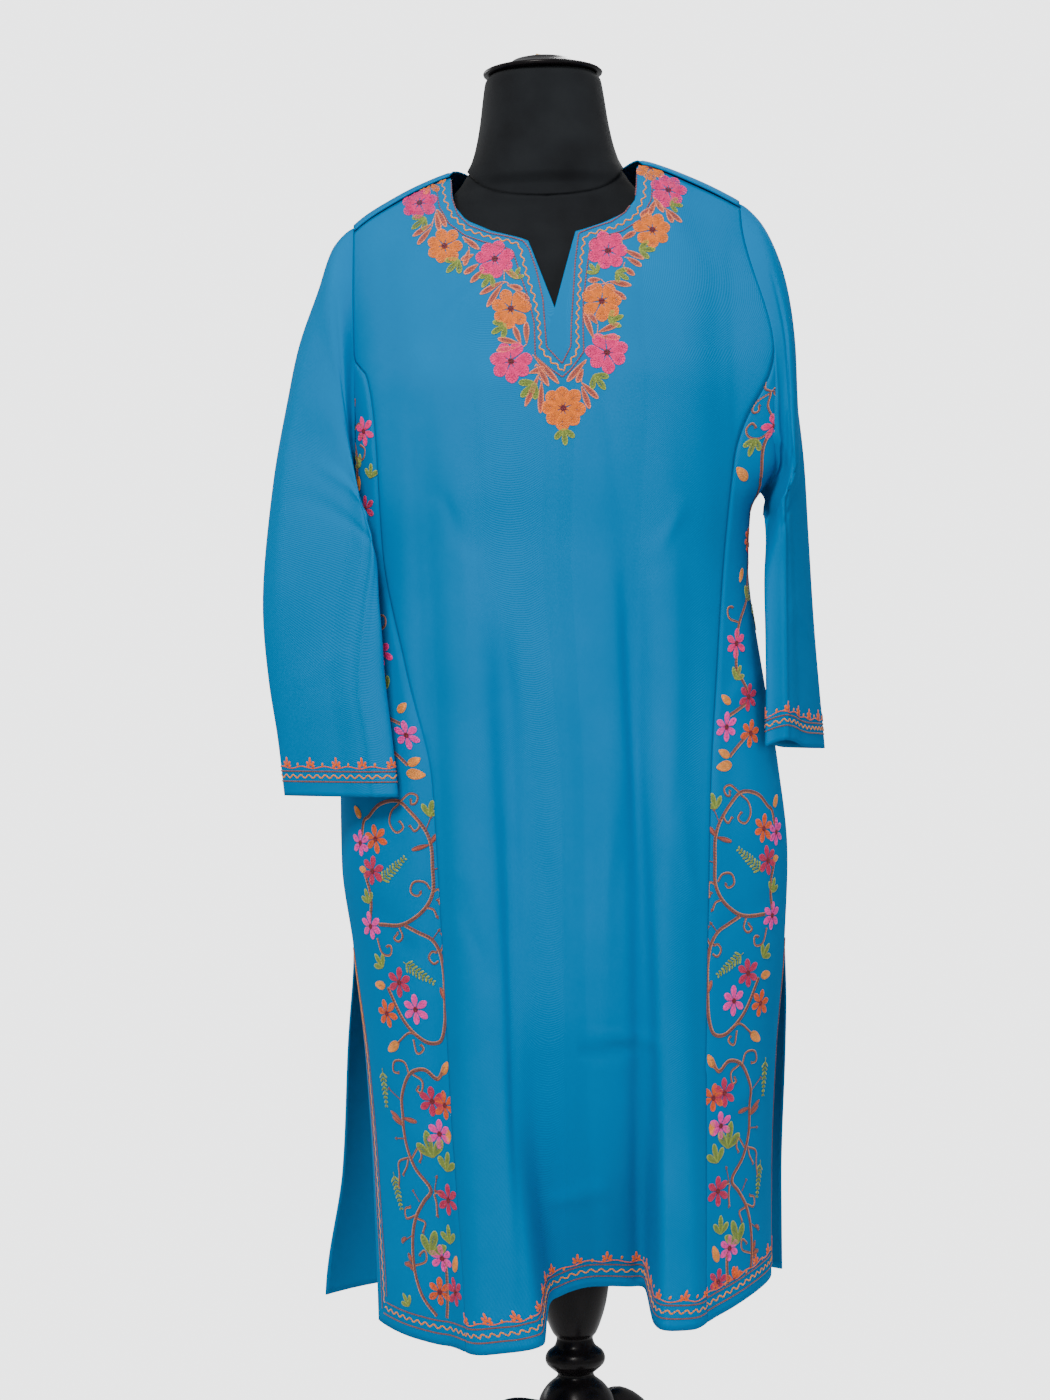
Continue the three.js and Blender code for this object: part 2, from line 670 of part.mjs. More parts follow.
// Solid through a stack of closed rings, capped flat at both ends
function loft(rings) {
  const columns = rings[0].length;
  const positions = [];
  const faces = [];
  rings.forEach((ring) => ring.forEach((point) => positions.push(point.x, point.y, point.z)));
  for (let i = 0; i < rings.length - 1; i += 1) {
    for (let j = 0; j < columns; j += 1) {
      const next = (j + 1) % columns;
      const a = i * columns + j;
      const b = i * columns + next;
      faces.push(a, b, b + columns, a, b + columns, a + columns);
    }
  }
  const ends = [rings[0], rings[rings.length - 1]];
  ends.forEach((ring, end) => {
    const centre = ring.reduce((sum, point) => sum.add(point), new THREE.Vector3());
    centre.multiplyScalar(1 / columns);
    const middle = positions.length / 3;
    positions.push(centre.x, centre.y, centre.z);
    const start = end === 0 ? 0 : (rings.length - 1) * columns;
    for (let j = 0; j < columns; j += 1) {
      const a = start + j;
      const b = start + ((j + 1) % columns);
      if (end === 0) faces.push(middle, b, a);
      else faces.push(middle, a, b);
    }
  });
  return buildGeometry(positions, faces);
}

function buildGeometry(positions, faces) {
  const geometry = new THREE.BufferGeometry();
  geometry.setAttribute('position', new THREE.Float32BufferAttribute(positions, 3));
  geometry.setIndex(faces);
  geometry.computeVertexNormals();
  return geometry;
}

// Smooth dress form from the table of sections
function formGeometry() {
  const rings = [];
  const bottom = formRows[0].z;
  const top = formRows[formRows.length - 1].z;
  for (let i = 0; i <= formRowsDown; i += 1) {
    const along = i / formRowsDown;
    const z = mix(bottom, top, mix(along, smooth(along), endCrowding));
    const half = readTable(formRows, 'z', z, 'half');
    const front = readTable(formRows, 'z', z, 'front');
    const back = readTable(formRows, 'z', z, 'back');
    const ring = [];
    for (let j = 0; j < formSides; j += 1) {
      const turn = (j / formSides) * Math.PI * 2;
      const sine = Math.sin(turn);
      const cosine = Math.cos(turn);
      const x = half * Math.sign(cosine) * Math.pow(Math.abs(cosine), formPower);
      const depth = sine < 0 ? front : back;
      const y = depth * Math.sign(sine) * Math.pow(Math.abs(sine), formPower);
      ring.push(new THREE.Vector3(x, y, z));
    }
    rings.push(ring);
  }
  return loft(rings);
}

// Turned solid round the pole's axis
function turnedGeometry(profile) {
  const points = profile.map(([radius, height]) => new THREE.Vector2(radius, height));
  const geometry = new THREE.LatheGeometry(points, turnedSides);
  geometry.rotateX(Math.PI / 2);
  geometry.deleteAttribute('normal');
  geometry.deleteAttribute('uv');
  const merged = mergeVertices(geometry, 1e-3);
  merged.computeVertexNormals();
  return merged;
}

// Curved leg that leaves the hub level and ends in a flat foot on the floor
function legGeometry(turnDegrees) {
  const path = new THREE.CatmullRomCurve3(
    legRows.map((row) => new THREE.Vector3(row.reach, 0, row.z)), false, 'centripetal',
  );
  const rings = [];
  const last = legRows.length - 1;
  for (let i = 0; i <= legSteps; i += 1) {
    const along = i / legSteps;
    const index = Math.min(Math.floor(along * last), last - 1);
    const share = along * last - index;
    const tall = mix(legRows[index].tall, legRows[index + 1].tall, share);
    const wide = mix(legRows[index].wide, legRows[index + 1].wide, share);
    const centre = path.getPoint(along);
    const tangent = path.getTangent(along);
    if (i === 0) tangent.set(1, 0, 0);
    if (i === legSteps) tangent.set(0, 0, -1);
    const upward = new THREE.Vector3(-tangent.z, 0, tangent.x);
    const ring = [];
    for (let j = 0; j < legSides; j += 1) {
      const turn = (j / legSides) * Math.PI * 2;
      const rise = upward.clone().multiplyScalar(Math.sin(turn) * tall);
      ring.push(centre.clone().add(rise).add(new THREE.Vector3(0, Math.cos(turn) * wide, 0)));
    }
    rings.push(ring);
  }
  const geometry = loft(rings);
  geometry.rotateZ(radians(turnDegrees));
  return geometry;
}

const group = new THREE.Group();
group.name = 'pheran_on_stand';

function addPart(name, geometry, colour, roughness) {
  const material = new THREE.MeshStandardMaterial({ color: colour, roughness, metalness: 0 });
  const mesh = new THREE.Mesh(geometry, material);
  mesh.name = name;
  group.add(mesh);
}

const clothParts = {
  front_panel: clothShell(frontGridPoints(), false),
  back_panel: clothShell(backGridPoints(), false),
  gore_front_left: clothShell(goreGridPoints(-1, true), false),
  gore_front_right: clothShell(goreGridPoints(1, true), false),
  gore_back_left: clothShell(goreGridPoints(-1, false), false),
  gore_back_right: clothShell(goreGridPoints(1, false), false),
  sleeve_left: clothShell(sleeveGridPoints(-1), true),
  sleeve_right: clothShell(sleeveGridPoints(1), true),
};
Object.entries(clothParts).forEach(([name, geometry]) => {
  addPart(name, geometry, clothColour, 0.85);
});
addPart('dress_form', formGeometry(), blackCloth, 0.8);
addPart('neck_cap', turnedGeometry(capProfile), blackWood, 0.15);
addPart('pole', turnedGeometry(poleProfile), blackWood, 0.12);
Object.entries(legTurns).forEach(([name, turn]) => {
  addPart(name, legGeometry(turn), blackWood, 0.12);
});

// The frame's origin is under the middle of the whole
const box = new THREE.Box3().setFromObject(group);
const shiftX = -(box.min.x + box.max.x) / 2;
const shiftY = -(box.min.y + box.max.y) / 2;
group.children.forEach((mesh) => mesh.geometry.translate(shiftX, shiftY, -box.min.z));

export default group;
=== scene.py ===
import math
import random

import bmesh
import bpy
import numpy as np
from mathutils import Matrix, Vector, noise
from mathutils.bvhtree import BVHTree
from mathutils.geometry import barycentric_transform


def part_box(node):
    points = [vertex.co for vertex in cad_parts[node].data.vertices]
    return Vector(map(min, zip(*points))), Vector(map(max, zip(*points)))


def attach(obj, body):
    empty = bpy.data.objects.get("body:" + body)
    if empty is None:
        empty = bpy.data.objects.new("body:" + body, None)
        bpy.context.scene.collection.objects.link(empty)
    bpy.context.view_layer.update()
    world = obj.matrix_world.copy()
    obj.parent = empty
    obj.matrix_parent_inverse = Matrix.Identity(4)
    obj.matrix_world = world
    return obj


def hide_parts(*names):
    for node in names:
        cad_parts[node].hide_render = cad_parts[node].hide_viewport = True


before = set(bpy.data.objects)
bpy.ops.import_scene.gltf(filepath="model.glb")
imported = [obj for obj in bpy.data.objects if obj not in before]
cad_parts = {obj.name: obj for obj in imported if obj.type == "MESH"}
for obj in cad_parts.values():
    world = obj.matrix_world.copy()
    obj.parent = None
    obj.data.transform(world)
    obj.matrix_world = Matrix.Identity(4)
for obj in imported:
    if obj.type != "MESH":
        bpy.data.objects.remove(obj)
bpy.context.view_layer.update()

random.seed(7)
print("scene: frame loaded")

# The tables below are in millimetres from the pole's axis.
# placed() turns them into the frame's metres.
poleLow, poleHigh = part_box("pole")
poleAxis = np.array([(poleLow.x + poleHigh.x) / 2, (poleLow.y + poleHigh.y) / 2, 0.0])


def placed(points):
    return np.asarray(points, float) * 0.001 + poleAxis


def rowsOf(names, values):
    return [dict(zip(names.split(), row)) for row in values]


garment = {
    "thickness": 1.5, "seamGap": 0.4, "armholeGap": 0.35, "roundness": 0.85,
    "underarm": 1066, "armholeWidest": 1150, "armholeReach": 174, "hemLevel": 330, "slitTop": 663,
    "yoke": 1200, "goreTop": 1184, "underLap": 2.6, "seamBelowCrest": 7.5, "lipBelowCrest": 7.5,
    "ridgeLift": 2.5, "ridgeLean": 0.4, "backNeckHeight": 1338, "backNeckHalf": 86,
    "backHemLeft": 330, "backHemRight": 342, "backHemReach": 220,
    "foldStart": 90, "foldDeepening": 1.7, "sideFade": 3, "tuck": 4.5, "tuckDrop": 1.0,
}
sampling = {"rowSteps": 480, "goreSteps": 160, "lowest": 312, "rise": 3.0}
shoulderRound = {"neck": 45, "tip": 100, "start": 85, "run": 65}

bodyRows = rowsOf("z left right front leftBack rightBack back", [
    (1380, 190, 194, 48, 190, 194, 48), (1345, 190, 194, 58, 190, 194, 67),
    (1300, 190, 194, 74, 190, 194, 84), (1250, 190, 194, 92, 190, 194, 97),
    (1200, 188, 192, 108, 188, 192, 103), (1150, 186, 188, 119, 186, 188, 107),
    (1066, 182, 178, 121, 182, 178, 107), (1000, 181, 173, 118, 181, 173, 106),
    (900, 190, 184, 119, 190, 184, 111), (820, 198, 195, 122, 198, 195, 120),
    (740, 199, 202, 125, 199, 202, 130), (663, 190, 198, 127, 191, 199, 142),
    (560, 182, 187, 129, 205, 205, 156), (450, 179, 180, 131, 222, 210, 168),
    (320, 180, 178, 133, 255, 225, 180),
])
seamRows = rowsOf("z left right leftBack rightBack", [
    (1186, 173.6, 173.6, 173.6, 173.6), (1168, 163, 172, 171, 172), (1120, 157, 164, 163, 165),
    (1015, 153, 150, 150, 150), (910, 134, 139, 146, 146), (806, 113, 130, 142, 142),
    (551, 105, 119, 134, 132), (320, 96, 114, 128, 124),
])
slitRows = rowsOf("z frontLeft frontRight backLeft backRight", [
    (663, 0, 0, 1, 1), (560, -6, 2, 12, 13), (450, -11, 4, 20, 22), (320, -16, 6, 27, 31),
])
crestRows = rowsOf("x z", [
    (-200, 1284), (-184, 1300), (-163, 1318), (-139, 1332), (-114, 1344), (-90, 1353), (-60, 1361),
    (60, 1364), (90, 1360), (106, 1355), (130, 1345), (159, 1331), (179, 1319), (192, 1305),
    (204, 1288),
])
neckRows = rowsOf("share x z", [
    (0.285, -85, 1348), (0.3, -84.2, 1339), (0.32, -83.4, 1329), (0.345, -81.5, 1316),
    (0.375, -71, 1302), (0.41, -49, 1291), (0.445, -24, 1284), (0.463, -17, 1281), (0.5, 4, 1219),
    (0.537, 24, 1289), (0.56, 32, 1291), (0.59, 50, 1297), (0.62, 67, 1305), (0.65, 77.5, 1317),
    (0.68, 79.4, 1331), (0.7, 80.4, 1342), (0.715, 81.2, 1353),
])
foldNames = "start x half lift edge"
frontFolds = rowsOf(foldNames, [
    (1180, (-118, -104), (15, 11), (-5, -9), (3, 3)),
    (1060, (-84, -64), (20, 40), (3, 33), (3, 6)),
    (960, (-50, -40), (14, 10), (-4, -2), (3, 3)),
    (640, (8, 21), (62, 43), (0, -82), (4, 26)),
    (1020, (66, 62), (13, 9), (-6, -6), (3, 3)),
    (1060, (94, 89), (17, 24), (4, 18), (3, 5)),
    (1290, (-140, -150), (16, 20), (-4, 0), (2, 2)),
    (1290, (147, 150), (16, 20), (-5, 0), (2, 2)),
])
backFolds = rowsOf(foldNames, [
    (1080, (-100, -104), (24, 26), (4, 20), (3, 3)),
    (1020, (-54, -56), (20, 24), (-5, -20), (3, 3)),
    (1160, (-4, 4), (26, 32), (3, 16), (3, 3)),
    (1020, (52, 62), (20, 22), (-5, -18), (3, 3)),
    (1080, (98, 104), (24, 22), (4, 14), (3, 3)),
])
hemRows = rowsOf("x z", [
    (-190, 337), (-172, 334), (-140, 328), (-110, 325), (-90, 325), (-60, 328), (-27, 332),
    (-20, 353), (20, 363), (60, 360), (66, 340), (100, 338), (124, 344), (190, 363),
])
sleeveNames = "outer inner half turn push"
sleeveRows = {
    "left": rowsOf(sleeveNames, [
        ((-191, -2, 1293), (-187, -6, 1057), 50, 2, (11, -8)),
        ((-206, -5, 1252), (-192, -20, 1046), 43, 8, (24, -12)),
        ((-222, -10, 1206), (-190, -42, 1034), 35, 15, (34, -12)),
        ((-234, -16, 1153), (-183, -64, 1022), 27, 22, (37, -8)),
        ((-248, -26, 1082), (-171, -82, 1000), 20, 28, (34, -5)),
        ((-260, -36, 977), (-157, -95, 955), 15, 30, (14, -2)),
        ((-257, -41, 905), (-151, -100, 896), 13, 30, (0, 0)),
        ((-250, -44, 850), (-146, -103, 846), 12, 30, (0, 0)),
        ((-245, -46, 801), (-142, -105, 799), 12, 30, (0, 0)),
    ]),
    "right": rowsOf(sleeveNames, [
        ((192, 0, 1305), (187, -3, 1058), 50, 2, (0, 0)),
        ((204, 2, 1276), (192, -9, 1048), 45, 8, (-2, -3)),
        ((211, 6, 1228), (194, -18, 1040), 38, 16, (-4, -5)),
        ((215, 12, 1166), (192, -28, 1030), 28, 26, (-5, -8)),
        ((223, 20, 1098), (190, -38, 1012), 19, 40, (-4, -8)),
        ((228, 28, 1020), (186, -46, 984), 14, 54, (-1, -3)),
        ((232, 32, 945), (184, -58, 928), 12, 60, (0, 0)),
        ((236, 33, 880), (182, -67, 874), 12, 60, (0, 0)),
        ((239, 33, 829), (180, -71, 834), 13, 60, (0, 0)),
    ]),
}
sleeveShape = {
    "roundHalf": 50, "flatHalf": 12, "power": 0.9, "backFlattening": 0.4, "pressLine": -0.72,
    "pressWidth": 0.5, "pressHeight": 0.45, "pushTurn": math.radians(120), "pushSpread": 1.3,
    "pushFade": 0.9,
}
curveCache = {}


def mix(low, high, share):
    return low + (high - low) * share


def smooth(share):
    return share * share * (3 - 2 * share)


def readTable(rows, key, at, column):
    # smooth value of a column at a place along the key, held flat at peaks and at both ends
    name = (id(rows), key, column)
    if name not in curveCache:
        ordered = sorted(rows, key=lambda row: row[key])
        place = np.array([row[key] for row in ordered], float)
        value = np.array([row[column] for row in ordered], float)
        rate = np.diff(value) / np.diff(place)
        product = rate[:-1] * rate[1:]
        total = rate[:-1] + rate[1:]
        slopes = np.zeros(len(place))
        slopes[1:-1] = np.where(product > 0, 2 * product / np.where(product > 0, total, 1), 0)
        curveCache[name] = (place, value, slopes)
    place, value, slopes = curveCache[name]
    at = np.clip(at, place[0], place[-1])
    i = np.clip(np.searchsorted(place, at, side="right") - 1, 0, len(place) - 2)
    step = place[i + 1] - place[i]
    s = (at - place[i]) / step
    s2 = s * s
    s3 = s2 * s
    return (
        value[i] * (2 * s3 - 3 * s2 + 1) + value[i + 1] * (3 * s2 - 2 * s3)
        + slopes[i] * step * (s3 - 2 * s2 + s) + slopes[i + 1] * step * (s3 - s2)
    )


def foldLift(isFront, x, z):
    total = 0.0
    for fold in frontFolds if isFront else backFolds:
        share = np.clip((fold["start"] - z) / (fold["start"] - garment["hemLevel"]), 0, 1)
        start = np.clip((fold["start"] - z) / garment["foldStart"], 0, 1)
        lift = smooth(start) * mix(*fold["lift"], share ** garment["foldDeepening"])
        away = np.abs((x - mix(*fold["x"], share)) / mix(*fold["half"], share))
        total = total + lift / (1 + away ** mix(*fold["edge"], share))
    return total


def crest(x):
    return readTable(crestRows, "x", x, "z")


def roundingAt(x):
    share = np.clip((np.abs(x) - shoulderRound["start"]) / shoulderRound["run"], 0, 1)
    return mix(shoulderRound["neck"], shoulderRound["tip"], smooth(share))


def shoulderShare(x, z):
    drop = np.clip((crest(x) - z) / roundingAt(x), 0, 1)
    return np.sqrt(1 - (1 - drop) ** 2)


def halfWidth(z, isLeft, isFront):
    ending = "" if isFront else "Back"
    left = readTable(bodyRows, "z", z, "left" + ending)
    right = readTable(bodyRows, "z", z, "right" + ending)
    return np.where(isLeft, left, right)


def depthAt(z, isFront):
    return readTable(bodyRows, "z", z, "front" if isFront else "back")


def bodyDepth(x, z, isFront):
    across = np.clip(np.abs(x) / halfWidth(z, x < 0, isFront), 0, 1)
    power = garment["roundness"]
    bulge = (1 - across ** (2 / power)) ** (power / 2)
    return depthAt(z, isFront) * bulge + foldLift(isFront, x, z)


def angleOf(across, z, isLeft, isFront):
    share = np.clip(across / halfWidth(z, isLeft, isFront), 0, 1)
    return np.arcsin(share ** (1 / garment["roundness"]))


def ringPoints(angle, z, isFront):
    # angle is signed: below zero on the left of the garment's middle
    power = garment["roundness"]
    sine = np.sin(np.abs(angle))
    cosine = np.cos(angle)
    x = np.sign(angle) * halfWidth(z, angle < 0, isFront) * np.abs(sine) ** power
    reach = depthAt(z, isFront) * np.abs(cosine) ** power * np.sign(cosine)
    fade = np.clip(cosine * garment["sideFade"], 0, 1)
    y = reach + fade * foldLift(isFront, x, z)
    return np.stack([x, -y if isFront else y, np.full_like(x, z)], -1)


def armholeAngle(z, isLeft, isFront):
    reach = garment["armholeReach"]
    if z >= garment["armholeWidest"]:
        return angleOf(reach, z, isLeft, isFront)
    widest = angleOf(reach, garment["armholeWidest"], isLeft, isFront)
    drop = garment["armholeWidest"] - garment["underarm"]
    share = min(max((garment["armholeWidest"] - z) / drop, 0), 1)
    return math.pi / 2 - (math.pi / 2 - widest) * math.sqrt(1 - share * share)


def outerAngle(z, isLeft, isFront):
    if z > garment["underarm"]:
        return armholeAngle(z, isLeft, isFront)
    if z > garment["slitTop"]:
        return math.pi / 2
    name = ("front" if isFront else "back") + ("Left" if isLeft else "Right")
    past = math.radians(readTable(slitRows, "z", z, name))
    return math.pi / 2 + (past if isFront else -past)


def seamAngle(z, isLeft, isFront):
    column = ("left" if isLeft else "right") + ("" if isFront else "Back")
    return angleOf(readTable(seamRows, "z", z, column), z, isLeft, isFront)


def panelAngle(z, isLeft, isFront):
    if z > garment["goreTop"]:
        return armholeAngle(z, isLeft, isFront)
    return seamAngle(z, isLeft, isFront)


def spread(points, count, gap):
    # evenly spaced points along a line of points, a little clear of its two ends
    lengths = np.concatenate([[0], np.cumsum(np.linalg.norm(np.diff(points, axis=0), axis=1))])
    targets = np.linspace(gap, lengths[-1] - gap, count + 1)
    return np.stack([np.interp(targets, lengths, points[:, k]) for k in range(3)], -1)


def panelRow(z, across, isFront):
    angles = np.linspace(
        -panelAngle(z, True, isFront), panelAngle(z, False, isFront), sampling["rowSteps"])
    return spread(ringPoints(angles, z, isFront), across, garment["seamGap"] / 2)


def goreRow(z, across, isLeft, isFront):
    # the seam's edge runs on a little under the panel
    inner = seamAngle(z, isLeft, isFront)
    outer = max(outerAngle(z, isLeft, isFront), inner + 0.004)
    inner -= garment["underLap"] / 160
    sign = -1 if isLeft else 1
    angles = sign * np.linspace(inner, outer, sampling["goreSteps"])
    return spread(ringPoints(angles, z, isFront), across, garment["seamGap"] / 2)


def hemHeight(x, isFront):
    if isFront:
        return readTable(hemRows, "x", x, "z")
    share = np.clip((x / garment["backHemReach"] + 1) / 2, 0, 1)
    return mix(garment["backHemLeft"], garment["backHemRight"], share)


def lowerRows(rowAt, top, down, isFront):
    # rows from a level down to the hem, each column ending at its own hem height
    levels = np.arange(sampling["lowest"], top + sampling["rise"], sampling["rise"])
    table = np.stack([rowAt(z) for z in levels])
    ends = hemHeight(rowAt(garment["hemLevel"])[:, 0], isFront)
    shares = np.linspace(0, 1, down + 1)[:, None]
    z = mix(top, ends[None, :], shares)
    place = np.clip((z - levels[0]) / sampling["rise"], 0, len(levels) - 1.001)
    low = place.astype(int)
    part = (place - low)[..., None]
    column = np.arange(table.shape[1])[None, :]
    points = table[low, column] * (1 - part) + table[low + 1, column] * part
    points[..., 2] = z
    return points


def frontStart(share):
    first, last = neckRows[0], neckRows[-1]
    tip = garment["armholeReach"] - garment["seamGap"]
    shares = [row["share"] for row in neckRows]
    x = np.interp(share, [0] + shares + [1], [-tip] + [row["x"] for row in neckRows] + [tip])
    z = np.interp(share, shares, [row["z"] for row in neckRows])
    onSeam = (share <= first["share"]) | (share >= last["share"])
    return x, np.where(onSeam, crest(x) - garment["seamBelowCrest"], z)


def frontGrid(across, above, below):
    yoke = panelRow(garment["yoke"], across, True)
    startX, startZ = frontStart(np.linspace(0, 1, across + 1))
    shares = (np.arange(above) / above)[:, None]
    x = mix(startX[None, :], yoke[None, :, 0], smooth(shares))
    z = mix(startZ[None, :], yoke[None, :, 2], shares)
    y = -bodyDepth(x, z, True) * shoulderShare(x, z)
    upper = np.stack([x, y, z], -1)
    lower = lowerRows(lambda z: panelRow(z, across, True), garment["yoke"], below, True)
    return np.concatenate([upper, lower])


def backGrid(across, above, below):
    yoke = panelRow(garment["yoke"], across, False)
    startX = np.linspace(-1, 1, across + 1) * (garment["armholeReach"] - garment["seamGap"])
    aside = np.minimum(np.abs(startX) / garment["backNeckHalf"], 1)
    onShoulder = (1 - np.sqrt(1 - aside * aside))[None, :]
    shares = (np.arange(above) / above)[:, None]
    x = mix(startX[None, :], yoke[None, :, 0], smooth(shares))
    around = roundingAt(x)
    dip = np.clip(crest(x) - garment["backNeckHeight"], 0, around)
    neckAngle = np.arccos(1 - dip / around)
    frontAngle = -np.arccos(1 - garment["lipBelowCrest"] / around)
    first = mix(neckAngle, frontAngle, onShoulder)
    last = np.arccos(np.clip(1 - (crest(x) - garment["yoke"]) / around, 0, 1))
    angle = mix(first, last, shares)
    level = crest(x) - around * (1 - np.cos(angle))
    z = mix(level, yoke[None, :, 2], np.clip(shares * 2 - 1, 0, 1) ** 2)
    depth = np.where(angle < 0, bodyDepth(x, z, True), bodyDepth(x, z, False)) * np.sin(angle)
    lift = garment["ridgeLift"] * onShoulder * (1 - shares)
    upper = np.stack([x, depth - lift * garment["ridgeLean"], z + lift], -1)
    lower = lowerRows(lambda z: panelRow(z, across, False), garment["yoke"], below, False)
    return np.concatenate([upper, lower])


def goreGrid(across, down, isLeft, isFront):
    return lowerRows(
        lambda z: goreRow(z, across, isLeft, isFront), garment["goreTop"], down, isFront)


def sleeveSection(row, isLeft, turns):
    shape = sleeveShape
    outer = np.array(row["outer"], float)
    inner = np.array(row["inner"], float)
    side = -1 if isLeft else 1
    yaw = math.radians(row["turn"])
    forward = np.array([side * math.sin(yaw), -math.cos(yaw), 0])
    along = np.cos(turns)
    facing = np.sin(turns)
    around = np.sign(facing) * np.abs(facing) ** shape["power"]
    press = (shape["roundHalf"] - row["half"]) / (shape["roundHalf"] - shape["flatHalf"])
    press = min(max(press, 0), 1)
    ridge = np.maximum(0, 1 - np.abs(along - shape["pressLine"]) / shape["pressWidth"])
    ridge = np.where(facing > 0, ridge, 0)
    flatBack = np.where(facing < 0, 1 - shape["backFlattening"] * press, 1)
    thick = row["half"] * (around * flatBack + press * shape["pressHeight"] * ridge * facing)
    pushed = np.maximum(0, np.cos((turns - shape["pushTurn"]) * shape["pushSpread"]))
    # the push fades out before the outer edge, so that the section closes there
    pushed = pushed * smooth(np.clip(turns / shape["pushFade"], 0, 1))
    pushed = pushed * smooth(np.clip((2 * math.pi - turns) / shape["pushFade"], 0, 1))
    centre = np.tile((outer + inner) / 2, (len(turns), 1))
    centre[:, 0] += row["push"][0] * pushed
    centre[:, 1] += row["push"][1] * pushed
    return centre + along[:, None] * (outer - inner) / 2 + thick[:, None] * forward


def armholeRing(isLeft, turns):
    side = -1 if isLeft else 1
    top = float(crest(side * garment["armholeReach"])) - 1
    middle = (top + garment["underarm"]) / 2
    result = []
    for turn in turns:
        z = middle + (top - middle) * math.cos(turn)
        isFront = math.sin(turn) >= 0
        angle = armholeAngle(z, isLeft, isFront)
        flat = ringPoints(np.array([side * angle]), z, isFront)[0]
        y = flat[1] * shoulderShare(flat[0], z)
        result.append((flat[0] + side * garment["armholeGap"], y, z))
    result = np.array(result)
    result[0] = result[-1] = (result[0] + result[-1]) / 2
    return result


def throughPoints(points, count):
    # centripetal Catmull-Rom spline through a stack of rings, sampled evenly in its parameter
    first = 2 * points[0] - points[1]
    last = 2 * points[-1] - points[-2]
    stack = np.concatenate([[first], points, [last]])
    result = []
    spans = len(points) - 1
    for step in range(count + 1):
        at = min(step / count * spans, spans - 1e-9)
        i = int(at)
        s = at - i
        p0, p1, p2, p3 = stack[i], stack[i + 1], stack[i + 2], stack[i + 3]
        d0, d1, d2 = (
            np.maximum(np.linalg.norm(b - a, axis=-1, keepdims=True), 1e-6) ** 0.5
            for a, b in ((p0, p1), (p1, p2), (p2, p3)))
        t1 = ((p1 - p0) / d0 - (p2 - p0) / (d0 + d1) + (p2 - p1) / d1) * d1
        t2 = ((p2 - p1) / d1 - (p3 - p1) / (d1 + d2) + (p3 - p2) / d2) * d1
        s2 = s * s
        s3 = s2 * s
        result.append(
            (2 * s3 - 3 * s2 + 1) * p1 + (3 * s2 - 2 * s3) * p2
            + (s3 - 2 * s2 + s) * t1 + (s3 - s2) * t2)
    return np.array(result)


def sleeveGrid(around, along, isLeft):
    turns = np.linspace(0, 2 * math.pi, around + 1)
    # the sleeve starts a little inside its armhole
    armhole = armholeRing(isLeft, turns)
    tuck = garment["tuck"] if isLeft else -garment["tuck"]
    tucked = armhole + np.array([tuck, 0, -garment["tuckDrop"]])
    rings = [tucked, armhole]
    rows = sleeveRows["left" if isLeft else "right"]
    rings += [sleeveSection(row, isLeft, turns) for row in rows]
    return throughPoints(np.array(rings), along)


def gridNormals(points, wraps):
    down = np.gradient(points, axis=0)
    across = np.gradient(points, axis=1)
    if wraps:
        seam = points[:, 1] - points[:, -2]
        across[:, 0] = seam
        across[:, -1] = seam
    normals = np.cross(down, across)
    return normals / np.maximum(np.linalg.norm(normals, axis=-1, keepdims=True), 1e-9)


def rowLengths(points):
    steps = np.linalg.norm(np.diff(points, axis=1), axis=-1)
    return np.concatenate([np.zeros((len(points), 1)), np.cumsum(steps, axis=1)], axis=1)


def columnLengths(points):
    steps = np.linalg.norm(np.diff(points, axis=0), axis=-1)
    return np.concatenate([np.zeros((1, points.shape[1])), np.cumsum(steps, axis=0)], axis=0)


def levelLengths(points, isFront):
    # distance along the cloth at each point's own height, from the garment's middle line
    result = np.zeros(points.shape[:2])
    levels = np.arange(300, 1400, 4.0)
    xs = np.linspace(-192, 192, 385)
    table = []
    for z in levels:
        width = min(halfWidth(z, True, isFront), halfWidth(z, False, isFront)) - 0.5
        x = np.clip(xs, -width, width)
        y = bodyDepth(x, np.full_like(x, z), isFront)
        step = np.hypot(np.diff(x), np.diff(y))
        length = np.concatenate([[0], np.cumsum(step)])
        table.append(length - np.interp(0, xs, length))
    table = np.array(table)
    place = np.clip((points[..., 2] - levels[0]) / 4.0, 0, len(levels) - 1.001)
    low = place.astype(int)
    part = place - low
    for i in range(points.shape[0]):
        for j in range(points.shape[1]):
            below = np.interp(points[i, j, 0], xs, table[low[i, j]])
            above = np.interp(points[i, j, 0], xs, table[low[i, j] + 1])
            result[i, j] = below * (1 - part[i, j]) + above * part[i, j]
    return result


print("scene: surfaces ready")


def tone(code):
    # linear colour of a screen colour written as rrggbb
    values = [int(code[k:k + 2], 16) / 255 for k in (0, 2, 4)]
    return tuple(v / 12.92 if v < 0.04045 else ((v + 0.055) / 1.055) ** 2.4 for v in values)


